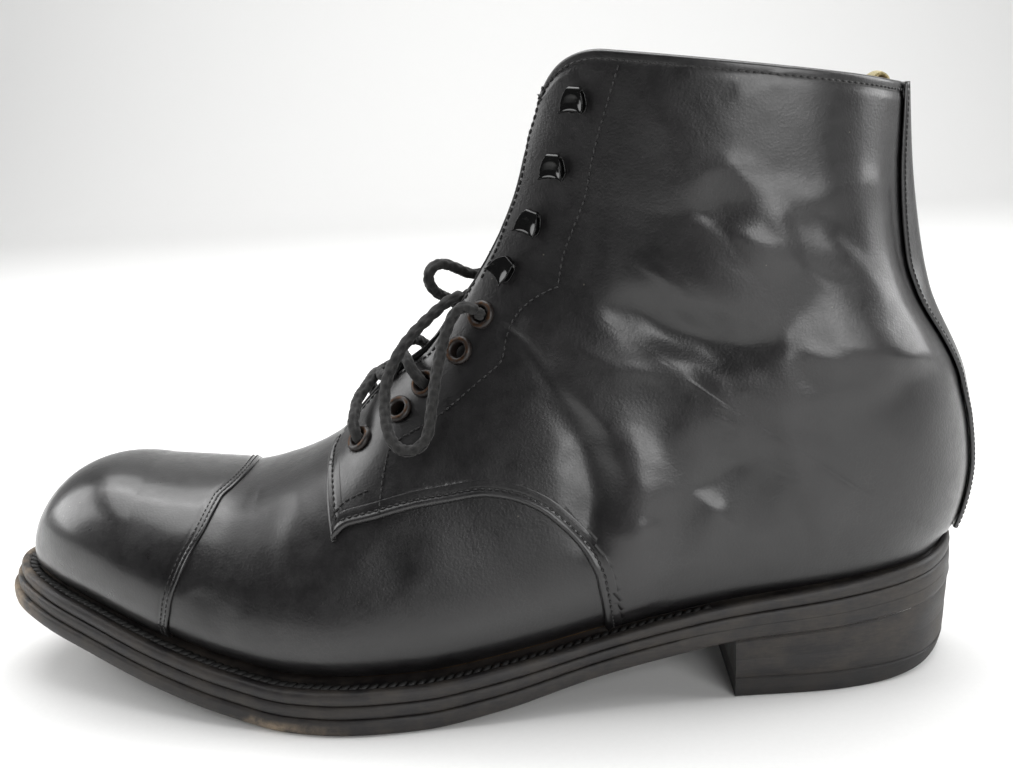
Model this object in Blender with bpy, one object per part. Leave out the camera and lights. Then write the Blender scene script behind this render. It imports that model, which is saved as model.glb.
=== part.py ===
"""Dress ankle boot for the left foot: a capped derby on a welted sole with a stacked heel.

The toe points along -X, the outer (lateral) side faces -Y and +Z is up. The boot stands on Z = 0 with
the origin under the middle of its box. Sizes are millimetres until a mesh is made, which is in metres.
"""

import math
from collections import namedtuple

import bmesh
import bpy
import numpy as np
from mathutils import Matrix, Vector

MM = 0.001
GAP = 0.3
FEATHER_GAP = 0.7
# Middle of the boot's box in the numbers of the tables below.
ORIGIN = Vector((1.5, 0.55, 0.0))

# Outline of the sole from above. The lateral side has the negative values.
PlanRow = namedtuple("PlanRow", "along lateral medial")
SOLE_PLAN = (
    PlanRow(-151.5, -4, 21),
    PlanRow(-139, -15, 34),
    PlanRow(-124, -23.5, 44.5),
    PlanRow(-97, -36, 52.5),
    PlanRow(-67, -46, 53),
    PlanRow(-36, -52.5, 45),
    PlanRow(0, -48.5, 34),
    PlanRow(40, -41.5, 29),
    PlanRow(80, -38, 33.5),
    PlanRow(115, -34.8, 34.8),
    PlanRow(141, -24, 24),
)
SOLE_TOE = (-156.0, 8.5)
SOLE_BACK = (153.5, 0.0)
TOE_LEAN = 0.25
TOE_LEAN_FROM = -52.0
TOE_EDGE = 14.0

# Side profile of the sole: height of its underside, thickness of each layer of its edge, and how far
# the welt stands out from the upper.
SoleRow = namedtuple("SoleRow", "along underside outsole midsole welt shelf")
SOLE_PROFILE = (
    SoleRow(-156, 24.2, 5.6, 4.3, 4.2, 6.4),
    SoleRow(-124, 16.2, 5.6, 4.3, 4.2, 8.0),
    SoleRow(-92, 7.4, 5.6, 4.2, 4.1, 8.4),
    SoleRow(-74, 3.2, 5.6, 4.2, 4.0, 8.5),
    SoleRow(-52, 0, 5.6, 4.2, 4.0, 8.5),
    SoleRow(-14, 0, 5.6, 4.2, 4.0, 8.2),
    SoleRow(9, 3.2, 5.4, 4.0, 4.0, 7.6),
    SoleRow(39, 10.6, 5.0, 3.4, 3.4, 6.6),
    SoleRow(58, 14.8, 5.0, 3.4, 3.6, 6.0),
    SoleRow(80, 18.9, 4.6, 3.6, 3.8, 5.2),
    SoleRow(115, 21.5, 5.0, 4.4, 4.4, 4.2),
    SoleRow(153.5, 25, 5.0, 4.6, 4.6, 3.4),
)

# Upper: a fan of sections from the toe to the collar. Each runs from its low end, on the feather line or
# the back of the boot, to its crown on the ridge or over the throat.
SectionRow = namedtuple("SectionRow", "crown_x crown_z low_x low_z ridge_y lateral medial belly fullness")
ON_FEATHER = None
SECTIONS = (
    SectionRow(-103, 67.2, -103, ON_FEATHER, 8, -31.0, 48.0, 0.30, 2.3),
    SectionRow(-88, 66.0, -89, ON_FEATHER, 7, -37.5, 49.5, 0.29, 2.2),
    SectionRow(-74, 65.4, -75, ON_FEATHER, 6, -42.5, 49.5, 0.28, 2.1),
    SectionRow(-58, 69.0, -56, ON_FEATHER, 4, -47.0, 47.0, 0.26, 2.0),
    SectionRow(-42, 76.0, -36, ON_FEATHER, 3, -50.0, 42.0, 0.25, 1.9),
    SectionRow(-24.5, 93.0, -7, ON_FEATHER, 2, -48.0, 36.0, 0.22, 1.85),
    SectionRow(-13.3, 103.7, 28, ON_FEATHER, 1, -44.0, 32.0, 0.20, 1.8),
    SectionRow(-5.2, 115.2, 66, ON_FEATHER, 0, -40.0, 34.0, 0.20, 1.8),
    SectionRow(1.0, 125.0, 104, ON_FEATHER, 0, -37.5, 36.5, 0.22, 1.8),
    SectionRow(5.5, 132.5, 134, ON_FEATHER, 0, -36.5, 36.5, 0.25, 1.8),
    SectionRow(9.5, 140.0, ON_FEATHER, ON_FEATHER, 0, -35.5, 35.5, 0.30, 1.8),
    SectionRow(13.8, 148.8, 156.4, 62, 0, -34.0, 34.0, 0.34, 1.8),
    SectionRow(17.2, 157.8, 153.2, 88, 0, -32.0, 32.0, 0.38, 1.8),
    SectionRow(20.0, 167.4, 141.8, 117, 0, -30.5, 30.5, 0.42, 1.8),
    SectionRow(22.8, 177.0, 136.0, 148, 0, -30.0, 30.0, 0.45, 1.8),
    SectionRow(25.7, 192.3, 133.0, 176.8, 0, -30.0, 30.0, 0.48, 1.8),
)
HEEL_SECTION = 11
COLLAR_SECTION = len(SECTIONS)
TOE_FULLNESS = 1.12
LOW_FULLNESS = 2.2

# Half the gap between the two facings, by section.
GapRow = namedtuple("GapRow", "section half_gap")
FACING_GAP = (
    GapRow(0, 17),
    GapRow(4, 20),
    GapRow(5, 20),
    GapRow(5.4, 13),
    GapRow(6.4, 11),
    GapRow(9, 11),
    GapRow(13, 11.5),
    GapRow(16, 12.5),
)

# Levels of the leathers over the fan surface.
CAP_LEVEL = 0.6
VAMP_LEVEL = -0.6
QUARTER_LEVEL = 0.8
LINING_LEVEL = -2.2

# Seams of the upper. Height is 0 at the feather, 1 at the edge of the facing and 2 on the ridge.
SeamRow = namedtuple("SeamRow", "section height")
QUARTER_EDGE = (
    SeamRow(7.36, 0.0),
    SeamRow(7.45, 0.15),
    SeamRow(7.56, 0.30),
    SeamRow(7.66, 0.425),
    SeamRow(7.59, 0.508),
    SeamRow(7.34, 0.575),
    SeamRow(6.96, 0.608),
    SeamRow(6.32, 0.617),
    SeamRow(5.79, 0.625),
    SeamRow(5.14, 0.667),
)
TAB_EDGE = (
    SeamRow(5.14, 0.667),
    SeamRow(5.09, 0.833),
    SeamRow(5.06, 1.0),
)
CAP_EDGE = (
    SeamRow(1.70, 0.0),
    SeamRow(1.82, 0.217),
    SeamRow(1.97, 0.383),
    SeamRow(2.32, 0.617),
    SeamRow(2.70, 0.85),
    SeamRow(3.05, 1.417),
    SeamRow(3.17, 1.8),
    SeamRow(3.19, 2.0),
)
CAP_MEDIAL_SWEEP = 0.6
COLLAR_CORNER = 0.95
COLLAR_CORNER_REACH = 0.16

# Back strip over the closing seam
STRIP_HALF_WIDTH = 12.0
STRIP_THICKNESS = 1.2
STRIP_GAP = 0.6
STRIP_START = 0.2

# Tongue
TONGUE_START = 4.6
TONGUE_END = 15.3
TONGUE_EDGE = 0.74
TONGUE_LEVEL = -4.0
TONGUE_SINK = 2.0
TONGUE_THICKNESS = 2.0

# Welt and insole
UPPER_ALLOWANCE = 3.4
INSOLE_RISE = 1.6

# Heel
HEEL_BREAST = 80.0
HEEL_INSET = 0.4
HEEL_TAPER = 1.4
TOP_PIECE = 6.4
LIFTS = 2
WEAR_FROM = 118.0
WEAR_LIFT = 5.0

# Lacing: place of each eyelet and hook on the facing, lateral and medial alike.
LaceRow = namedtuple("LaceRow", "section height")
EYELETS = (
    LaceRow(5.64, 0.892),
    LaceRow(6.39, 0.883),
    LaceRow(7.04, 0.908),
    LaceRow(7.99, 0.90),
    LaceRow(8.89, 0.917),
)
HOOKS = (
    LaceRow(10.43, 0.95),
    LaceRow(12.01, 0.95),
    LaceRow(13.65, 0.925),
    LaceRow(15.18, 0.892),
)
EYELET_HOLE = 3.2
EYELET_PROFILE = ((2.3, -2.8), (2.8, -2.8), (2.8, 0.8), (4.3, 0.8), (3.8, 1.5), (2.3, 1.3))
HOOK_WIDTH = 5.6
HOOK_STANDOFF = 0.7
# Strip of the hook from its foot round to its free end: the outer face, then the inner one.
HookRow = namedtuple("HookRow", "along out inner_along inner_out")
HOOK_PROFILE = (
    HookRow(-3.4, 0.0, -3.4, 0.9),
    HookRow(3.0, 0.0, 2.6, 0.9),
    HookRow(4.3, 0.9, 3.4, 1.4),
    HookRow(4.8, 2.2, 3.8, 2.2),
    HookRow(4.3, 3.6, 3.5, 2.9),
    HookRow(3.0, 4.4, 2.6, 3.5),
    HookRow(-3.0, 4.8, -3.0, 3.9),
)
LACE_DIAMETER = 3.6

# Lace routes: places on the fan surface and the height of the cord over it.
RouteRow = namedtuple("RouteRow", "section height side out")
CROSSING = (
    RouteRow(5.66, 0.90, -1, 5.2),
    RouteRow(5.72, 0.98, -1, 4.6),
    RouteRow(5.85, 1.4, -1, 4.0),
    RouteRow(6.05, 2.0, -1, 3.0),
    RouteRow(6.2, 1.45, 1, 2.4),
    RouteRow(6.38, 1.25, 1, 2.2),
    RouteRow(6.55, 1.5, 1, 2.4),
    RouteRow(6.72, 2.0, -1, 3.0),
    RouteRow(6.9, 1.4, -1, 4.0),
    RouteRow(7.02, 0.98, -1, 4.6),
    RouteRow(7.05, 0.91, -1, 5.2),
)

# Free ends of the lace: control points of a smooth run that rounds them off.
PointRow = namedtuple("PointRow", "x y z")
LATERAL_LOOP = (
    PointRow(8.0, -20.5, 118.0),
    PointRow(5.5, -19.5, 120.0),
    PointRow(2.0, -18.5, 119.0),
    PointRow(-1.0, -19.5, 114.5),
    PointRow(-3.0, -22.0, 108.0),
    PointRow(-4.5, -25.0, 102.5),
    PointRow(-5.5, -28.5, 96.0),
    PointRow(-6.5, -30.5, 90.5),
    PointRow(-7.0, -32.0, 86.0),
    PointRow(-9.0, -33.0, 82.0),
    PointRow(-13.5, -33.5, 80.0),
    PointRow(-17.5, -32.5, 82.0),
    PointRow(-19.5, -30.5, 86.0),
    PointRow(-20.5, -26.0, 91.5),
    PointRow(-20.5, -22.0, 98.0),
    PointRow(-17.5, -18.5, 104.5),
    PointRow(-13.0, -15.0, 110.5),
    PointRow(-7.5, -11.5, 115.0),
    PointRow(-2.5, -9.5, 119.0),
    PointRow(0.5, -8.5, 120.5),
    PointRow(3.0, -7.0, 121.0),
)
MEDIAL_LOOP = (
    PointRow(10.0, 17.5, 124.5),
    PointRow(5.5, 15.0, 123.0),
    PointRow(1.0, 11.0, 126.0),
    PointRow(-3.0, 6.5, 129.0),
    PointRow(-6.5, 3.0, 129.0),
    PointRow(-8.5, 2.0, 125.5),
    PointRow(-7.5, 5.0, 121.0),
    PointRow(-5.0, 10.0, 118.0),
    PointRow(-2.5, 14.5, 116.0),
)
LACE_POINT_SPACING = 6.0

# Pull loop at the back of the collar: run of the tape in X and Z.
TapeRow = namedtuple("TapeRow", "x z")
PULL_LOOP = (
    TapeRow(122.6, 166.0),
    TapeRow(123.0, 174.0),
    TapeRow(124.2, 178.0),
    TapeRow(126.4, 179.6),
    TapeRow(128.4, 178.0),
    TapeRow(129.0, 174.0),
    TapeRow(129.2, 166.0),
)
PULL_LOOP_WIDTH = 10.0
PULL_LOOP_THICKNESS = 1.0

# Fineness of the solids
SOLE_STATIONS = 32
HEEL_STATIONS = 16
CAP_ROWS = 11
CAP_ROW_POWER = 1.5
VAMP_ROWS = 9
FEATHER_ROWS = 8
SHAFT_ROWS = 9
LOW_COLUMNS = 10
TAB_COLUMNS = 4
RIDGE_COLUMNS = 3
EYELET_SEGMENTS = 12


class Smooth:
    """A smooth curve through the rows of a short table that does not swing out between them."""

    def __init__(self, knots, values):
        self.knots = np.asarray(knots, float)
        self.values = np.asarray(values, float)
        span = np.diff(self.knots)
        rise = np.diff(self.values) / span
        slopes = [rise[0]]
        for k in range(1, len(span)):
            before, after = rise[k - 1], rise[k]
            if before * after <= 0:
                slopes.append(0.0)
                continue
            lead = 2 * span[k] + span[k - 1]
            trail = span[k] + 2 * span[k - 1]
            slopes.append((lead + trail) / (lead / before + trail / after))
        slopes.append(rise[-1])
        self.slopes = np.array(slopes)

    def __call__(self, at):
        at = np.clip(np.asarray(at, float), self.knots[0], self.knots[-1])
        k = np.clip(np.searchsorted(self.knots, at, side="right") - 1, 0, len(self.knots) - 2)
        span = self.knots[k + 1] - self.knots[k]
        t = (at - self.knots[k]) / span
        start = self.values[k] * (1 + 2 * t) * (1 - t) ** 2 + self.slopes[k] * span * t * (1 - t) ** 2
        end = self.values[k + 1] * t * t * (3 - 2 * t) + self.slopes[k + 1] * span * t * t * (t - 1)
        return start + end


def column(rows, name):
    """One named column of a table."""
    return [getattr(row, name) for row in rows]


def profile(name):
    """A column of the sole's side profile as a smooth curve along the boot."""
    return Smooth(column(SOLE_PROFILE, "along"), column(SOLE_PROFILE, name))


underside = profile("underside")
outsole_thickness = profile("outsole")
midsole_thickness = profile("midsole")
welt_thickness = profile("welt")
shelf_width = profile("shelf")


def outsole_top(along):
    return underside(along) + outsole_thickness(along)


def midsole_top(along):
    return outsole_top(along) + midsole_thickness(along)


def welt_top(along):
    return midsole_top(along) + welt_thickness(along)


def closed_curve(corners, count):
    """Even samples of a smooth closed curve through its corners."""
    corners = np.asarray(corners, float)
    ahead = np.roll(corners, -1, axis=0)
    chord = np.sqrt(np.linalg.norm(ahead - corners, axis=1))
    tangent = (ahead - np.roll(corners, 1, axis=0)) / (chord + np.roll(chord, 1))[:, None]
    samples = []
    for k in range(len(corners)):
        t = np.linspace(0, 1, count, endpoint=False)[:, None]
        nxt = (k + 1) % len(corners)
        samples.append(
            corners[k] * (1 + 2 * t) * (1 - t) ** 2
            + tangent[k] * chord[k] * t * (1 - t) ** 2
            + corners[nxt] * t * t * (3 - 2 * t)
            + tangent[nxt] * chord[k] * t * t * (t - 1)
        )
    return np.concatenate(samples)


def inward(loop):
    """Unit normals of an outline that point into it."""
    tangent = np.roll(loop, -1, axis=0) - np.roll(loop, 1, axis=0)
    tangent /= np.linalg.norm(tangent, axis=1)[:, None]
    return np.stack([-tangent[:, 1], tangent[:, 0]], axis=1)


def sides(loop):
    """Split an outline into its lateral and its medial line, each running from toe to back."""
    tip = int(np.argmin(loop[:, 0]))
    loop = np.roll(loop, -tip, axis=0)
    back = int(np.argmax(loop[:, 0]))
    lateral = loop[: back + 1]
    medial = np.concatenate([loop[back:], loop[:1]])[::-1]
    return lateral, medial


PLAN_CORNERS = (
    [SOLE_TOE]
    + [(row.along, row.lateral) for row in SOLE_PLAN]
    + [SOLE_BACK]
    + [(row.along, row.medial) for row in reversed(SOLE_PLAN)]
)
SOLE_LOOP = closed_curve(PLAN_CORNERS, 24)


def leaned(loop, thickness):
    """Outline of a layer a thickness above the underside. At the toe spring the edge leans back."""
    share = np.clip((TOE_LEAN_FROM - loop[:, 0]) / (TOE_LEAN_FROM - SOLE_TOE[0]), 0, 1)
    moved = loop.copy()
    moved[:, 0] += TOE_LEAN * share * thickness
    return moved


FEATHER_LOOP = leaned(SOLE_LOOP, TOE_EDGE)
FEATHER_LOOP = FEATHER_LOOP + inward(FEATHER_LOOP) * shelf_width(FEATHER_LOOP[:, 0])[:, None]
FEATHER_LATERAL, FEATHER_MEDIAL = sides(FEATHER_LOOP)
FEATHER_TOE = FEATHER_LATERAL[0]
FEATHER_BACK = FEATHER_LATERAL[-1]


def feather(along):
    """Lateral and medial edge of the upper where it meets the welt."""
    lateral = np.interp(along, FEATHER_LATERAL[:, 0], FEATHER_LATERAL[:, 1])
    medial = np.interp(along, FEATHER_MEDIAL[:, 0], FEATHER_MEDIAL[:, 1])
    return lateral, medial


def section_curves():
    """Smooth curves through the section table, with the low ends put on the feather line."""
    curves = {}
    number = np.arange(1, len(SECTIONS) + 1)
    low_x = [FEATHER_BACK[0] if row.low_x is ON_FEATHER else row.low_x for row in SECTIONS]
    low_z = [
        float(welt_top(x)) + FEATHER_GAP if row.low_z is ON_FEATHER else row.low_z
        for row, x in zip(SECTIONS, low_x)
    ]
    low = {"low_x": low_x, "low_z": low_z}
    for name in SectionRow._fields:
        curves[name] = Smooth(number, low.get(name) or column(SECTIONS, name))
    return curves


CURVES = section_curves()
half_gap = Smooth(column(FACING_GAP, "section"), column(FACING_GAP, "half_gap"))


def upper_point(section, height, side):
    """Point of the fan surface. Side is -1 for lateral and 1 for medial."""
    section = np.asarray(section, float)
    height = np.asarray(height, float)
    row = {name: curve(np.maximum(section, 1)) for name, curve in CURVES.items()}
    first = {name: curve(1.0) for name, curve in CURVES.items()}

    # The toe, before the first row, closes like a ball onto the tip of the feather line.
    in_toe = section < 1
    turn = np.clip(section, 0, 1) * math.pi / 2
    toe_x = first["low_x"] - (first["low_x"] - FEATHER_TOE[0]) * np.cos(turn)
    low_x = np.where(in_toe, toe_x, row["low_x"])
    on_feather = section < HEEL_SECTION
    low_z = np.where(on_feather, welt_top(low_x) + FEATHER_GAP, row["low_z"])
    rise = np.sin(turn) ** TOE_FULLNESS
    crest = first["crown_z"] - first["low_z"]
    crown_x = np.where(in_toe, toe_x, row["crown_x"])
    crown_z = np.where(in_toe, low_z + crest * rise, row["crown_z"])
    ridge = np.where(in_toe, FEATHER_TOE[1] + (first["ridge_y"] - FEATHER_TOE[1]) * rise, row["ridge_y"])

    lateral, medial = feather(low_x)
    middle = np.where(on_feather, (lateral + medial) / 2, 0)
    half_low = np.where(on_feather, (medial - lateral) / 2, 0)
    first_lateral, first_medial = feather(first["low_x"])
    if side < 0:
        toe_side = lateral + (first["lateral"] - first_lateral) * rise
        reach = np.where(in_toe, toe_side, row["lateral"])
    else:
        toe_side = medial + (first["medial"] - first_medial) * rise
        reach = np.where(in_toe, toe_side, row["medial"])
    belly = row["belly"]
    half = np.maximum(side * (reach - middle - (ridge - middle) * belly), half_low + 0.02)

    start = np.arccos(np.clip(half_low / half, 0, 1))
    stop = np.arccos(np.clip(half_gap(section) / np.maximum(half, 1e-6), 0, 0.9))
    low_turn = -start + (stop + start) * height
    top_turn = stop + (math.pi / 2 - stop) * (height - 1)
    turn = np.where(height <= 1, low_turn, top_turn)
    below = np.sin(np.clip(-turn, 0, math.pi / 2)) ** (2 / LOW_FULLNESS)
    reach_below = belly / np.maximum(np.sin(start), 1e-6) ** (2 / LOW_FULLNESS)
    above = np.sin(np.clip(turn, 0, math.pi / 2)) ** (2 / row["fullness"])
    share = np.where(turn < 0, belly - reach_below * below, belly + (1 - belly) * above)

    x = low_x + (crown_x - low_x) * share
    y = middle + (ridge - middle) * share + side * half * np.cos(turn)
    z = low_z + (crown_z - low_z) * share
    return np.stack([x, y, z], axis=-1)


STEP = 0.004


def upper_normal(section, height, side):
    """Outward normal of the fan surface."""
    section = np.maximum(np.asarray(section, float), 0.02)
    height = np.asarray(height, float)
    s_low = np.maximum(section - STEP, 0.01)
    s_high = np.minimum(section + STEP, COLLAR_SECTION)
    h_low = np.maximum(height - STEP, 0)
    h_high = np.minimum(height + STEP, 2)
    along = upper_point(s_high, height, side) - upper_point(s_low, height, side)
    up = upper_point(section, h_high, side) - upper_point(section, h_low, side)
    normal = np.cross(up, along) * side
    centre_back = (height <= 0) & (section >= HEEL_SECTION)
    normal[..., 1] = np.where(centre_back, 0.0, normal[..., 1])
    return normal / np.maximum(np.linalg.norm(normal, axis=-1, keepdims=True), 1e-9)


def on_upper(section, height, side, level):
    """Point at a level over the fan surface."""
    return upper_point(section, height, side) + upper_normal(section, height, side) * level


def new_material(name, rgb, roughness, metallic=0.0):
    """A plain Principled material."""
    material = bpy.data.materials.new(name)
    material.use_nodes = True
    shader = material.node_tree.nodes["Principled BSDF"]
    shader.inputs["Base Color"].default_value = (*rgb, 1.0)
    shader.inputs["Roughness"].default_value = roughness
    shader.inputs["Metallic"].default_value = metallic
    return material


def mesh_object(name, bm, material, smooth_angle=35):
    """Turn a bmesh in millimetres into a named object in metres that faces outwards."""
    bmesh.ops.remove_doubles(bm, verts=bm.verts, dist=0.001)
    bmesh.ops.recalc_face_normals(bm, faces=bm.faces)
    bmesh.ops.translate(bm, vec=-ORIGIN, verts=bm.verts)
    bmesh.ops.scale(bm, vec=(MM, MM, MM), verts=bm.verts)
    mesh = bpy.data.meshes.new(name)
    bm.to_mesh(mesh)
    bm.free()
    mesh.shade_smooth()
    mesh.set_sharp_from_angle(angle=math.radians(smooth_angle))
    mesh.materials.append(material)
    thing = bpy.data.objects.new(name, mesh)
    bpy.context.scene.collection.objects.link(thing)
    return thing


def plan_loop(inset, thickness=0.0, first=None):
    """Outline of the sole moved inwards, as lateral points, back point and medial points.

    The thickness is the height of the loop over the underside. With a first station the outline
    starts there instead of at the toe, as the heel does.
    """
    lateral, medial = sides(SOLE_LOOP)
    if first is None:
        turn = np.linspace(0, math.pi, SOLE_STATIONS + 1)
        stations = SOLE_TOE[0] + (SOLE_BACK[0] - SOLE_TOE[0]) * (1 - np.cos(turn)) / 2
        stations = np.clip(stations, lateral[0, 0], lateral[-1, 0])
    else:
        turn = np.linspace(0, math.pi / 2, HEEL_STATIONS + 1)
        stations = first + (lateral[-1, 0] - first) * np.sin(turn)
    left = np.stack([stations, np.interp(stations, lateral[:, 0], lateral[:, 1])], axis=1)
    right = np.stack([stations, np.interp(stations, medial[:, 0], medial[:, 1])], axis=1)
    right = right[1:-1] if first is None else right[:-1]
    loop = leaned(np.concatenate([left, right[::-1]]), thickness)
    normal = inward(loop)
    if first is not None:
        normal[0] = normal[-1] = 0
        normal[0, 1], normal[-1, 1] = 1, -1
    return loop + normal * np.reshape(inset(loop[:, 0]), (-1, 1))


def even(amount):
    """The same inset all along the boot."""
    return lambda along: np.full(np.shape(along), float(amount))


def lifted(loop, height):
    return np.column_stack([loop, height(loop[:, 0])])


def skin(bm, loops, closed):
    """Faces between loops of equal length. Closed joins the last loop to the first, as in a ring."""
    rings = [[bm.verts.new(point) for point in loop] for loop in loops]
    pairs = list(zip(rings, rings[1:]))
    if closed:
        pairs.append((rings[-1], rings[0]))
    for low, high in pairs:
        for k in range(len(low)):
            nxt = (k + 1) % len(low)
            bm.faces.new((low[k], low[nxt], high[nxt], high[k]))
    return rings


def ladder(bm, ring):
    """Close a loop with strips that run straight across from one side to the other."""
    count = len(ring)
    whole = count % 2 == 0
    for k in range(count // 2):
        far = (count - k) % count if whole else count - k - 1
        near_far = (count - k - 1) % count if whole else count - k - 2
        corners = list(dict.fromkeys((ring[k], ring[k + 1], ring[near_far], ring[far])))
        if len(corners) > 2:
            bm.faces.new(corners)


def between(low, high, share):
    """Height a share of the way between two others."""
    return lambda along: low(along) + (high(along) - low(along)) * share


def less_gap(height):
    return lambda along: height(along) - GAP


RIB_ROWS = ((0.5, 0.0), (0.0, 0.25), (0.0, 0.75), (0.5, 1.0))


def ribbed_loops(low, high, inset, thickness):
    """Loops of a layer's edge, which swells to a rib between its two faces."""
    loops = []
    for depth, share in RIB_ROWS:
        loops.append(lifted(plan_loop(even(inset + depth), thickness), between(low, high, share)))
    return loops


def build_layer(name, material, low, high, inset, thickness):
    bm = bmesh.new()
    rings = skin(bm, ribbed_loops(low, high, inset, thickness), closed=False)
    ladder(bm, rings[0])
    ladder(bm, rings[-1])
    return mesh_object(name, bm, material)


def build_welt(material):
    """Ring that carries the upper: a ribbed outer edge, a shelf and an inner edge round the insole."""
    def inner(along):
        return shelf_width(along) + UPPER_ALLOWANCE
    loops = ribbed_loops(midsole_top, welt_top, 0.3, TOE_EDGE)
    loops.append(lifted(plan_loop(inner, TOE_EDGE), welt_top))
    loops.append(lifted(plan_loop(inner, TOE_EDGE), midsole_top))
    bm = bmesh.new()
    skin(bm, loops, closed=True)
    return mesh_object("welt", bm, material)


def build_insole(material):
    def inner(along):
        return shelf_width(along) + UPPER_ALLOWANCE + 2 * GAP
    bm = bmesh.new()
    loop = plan_loop(inner, TOE_EDGE)
    low = lifted(loop, lambda along: midsole_top(along) + GAP)
    high = lifted(loop, lambda along: welt_top(along) + INSOLE_RISE)
    rings = skin(bm, [low, high], closed=False)
    ladder(bm, rings[0])
    ladder(bm, rings[-1])
    return mesh_object("insole", bm, material)


def heel_floor(along):
    """Underside of the heel, worn upwards at the back."""
    worn = np.clip((along - WEAR_FROM) / (SOLE_BACK[0] - WEAR_FROM), 0, 1)
    return WEAR_LIFT * worn ** 2


def heel_line(level):
    """Height of a line of the heel: 0 at the top of the top piece, 1 under the outsole."""
    def height(along):
        return TOP_PIECE + (underside(along) - GAP - TOP_PIECE) * level
    return height


def build_heel(lift_material, top_piece_material):
    for k in range(LIFTS):
        low, high = k / LIFTS, (k + 1) / LIFTS
        bm = bmesh.new()
        loops = []
        for level, height in ((low, heel_line(low)), (high, less_gap(heel_line(high)))):
            inset = HEEL_INSET + HEEL_TAPER * (1 - level) * 0.6
            loops.append(lifted(plan_loop(even(inset), first=HEEL_BREAST), height))
        rings = skin(bm, loops, closed=False)
        ladder(bm, rings[0])
        ladder(bm, rings[-1])
        mesh_object("heel_lift_%d" % (LIFTS - k), bm, lift_material[k])
    bm = bmesh.new()
    low = lifted(plan_loop(even(HEEL_INSET + HEEL_TAPER), first=HEEL_BREAST), heel_floor)
    top = lifted(plan_loop(even(HEEL_INSET + HEEL_TAPER * 0.6), first=HEEL_BREAST), less_gap(heel_line(0)))
    rings = skin(bm, [low, top], closed=False)
    ladder(bm, rings[0])
    ladder(bm, rings[-1])
    mesh_object("heel_top_piece", bm, top_piece_material)


cap_section = Smooth(column(CAP_EDGE, "height"), column(CAP_EDGE, "section"))


def cap_seam(height, side):
    """Section of the toe cap's seam at a height."""
    ridge = CAP_EDGE[-1].section
    back = ridge - cap_section(height)
    return ridge - back * (1.0 if side < 0 else CAP_MEDIAL_SWEEP)


def even_steps(rows, count):
    """Points evenly spaced over the lateral surface along a seam table."""
    fine = np.linspace(0, len(rows) - 1, 400)
    section = Smooth(range(len(rows)), column(rows, "section"))(fine)
    height = Smooth(range(len(rows)), column(rows, "height"))(fine)
    points = upper_point(section, height, -1)
    run = np.concatenate([[0], np.cumsum(np.linalg.norm(np.diff(points, axis=0), axis=1))])
    at = np.linspace(0, run[-1], count + 1)
    return np.interp(at, run, section), np.interp(at, run, height)


def collar_end(height):
    """Section at which a column ends on the collar, with the front corner rounded."""
    into = np.clip((height - 1 + COLLAR_CORNER_REACH) / COLLAR_CORNER_REACH, 0, 1)
    return COLLAR_SECTION - COLLAR_CORNER * (1 - math.sqrt(1 - into * into))


Column = namedtuple("Column", "side toe_height edge_section edge_height collar_height")
SIDE_COLUMNS = LOW_COLUMNS + TAB_COLUMNS


def side_columns(side):
    """Columns of the upper from the feather up to the ridge."""
    low_section, low_height = even_steps(QUARTER_EDGE, LOW_COLUMNS)
    tab_section, tab_height = even_steps(TAB_EDGE, TAB_COLUMNS)
    edge_section = np.concatenate([low_section, tab_section[1:]])
    edge_height = np.concatenate([low_height, tab_height[1:]])
    columns = []
    for j in range(SIDE_COLUMNS + 1):
        if j <= LOW_COLUMNS:
            toe = 0.6 * j / LOW_COLUMNS
            collar = 0.76 * j / LOW_COLUMNS
        else:
            toe = 0.6 + 0.4 * (j - LOW_COLUMNS) / TAB_COLUMNS
            collar = 0.76 + 0.24 * (j - LOW_COLUMNS) / TAB_COLUMNS
        columns.append(Column(side, toe, edge_section[j], edge_height[j], collar))
    for r in range(1, RIDGE_COLUMNS + 1):
        height = 1 + r / RIDGE_COLUMNS
        columns.append(Column(side, height, edge_section[-1], height, None))
    return columns


def shaft_shares():
    """Row spacing of the quarters, with one row exactly at the foot of the centre back."""
    start = QUARTER_EDGE[0].section
    turn = np.linspace(0, math.pi / 2, FEATHER_ROWS + 1)
    low = start + (HEEL_SECTION - start) * np.sin(turn)
    high = np.linspace(HEEL_SECTION, COLLAR_SECTION, SHAFT_ROWS + 1)[1:]
    return (np.concatenate([low, high]) - start) / (COLLAR_SECTION - start)


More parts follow.
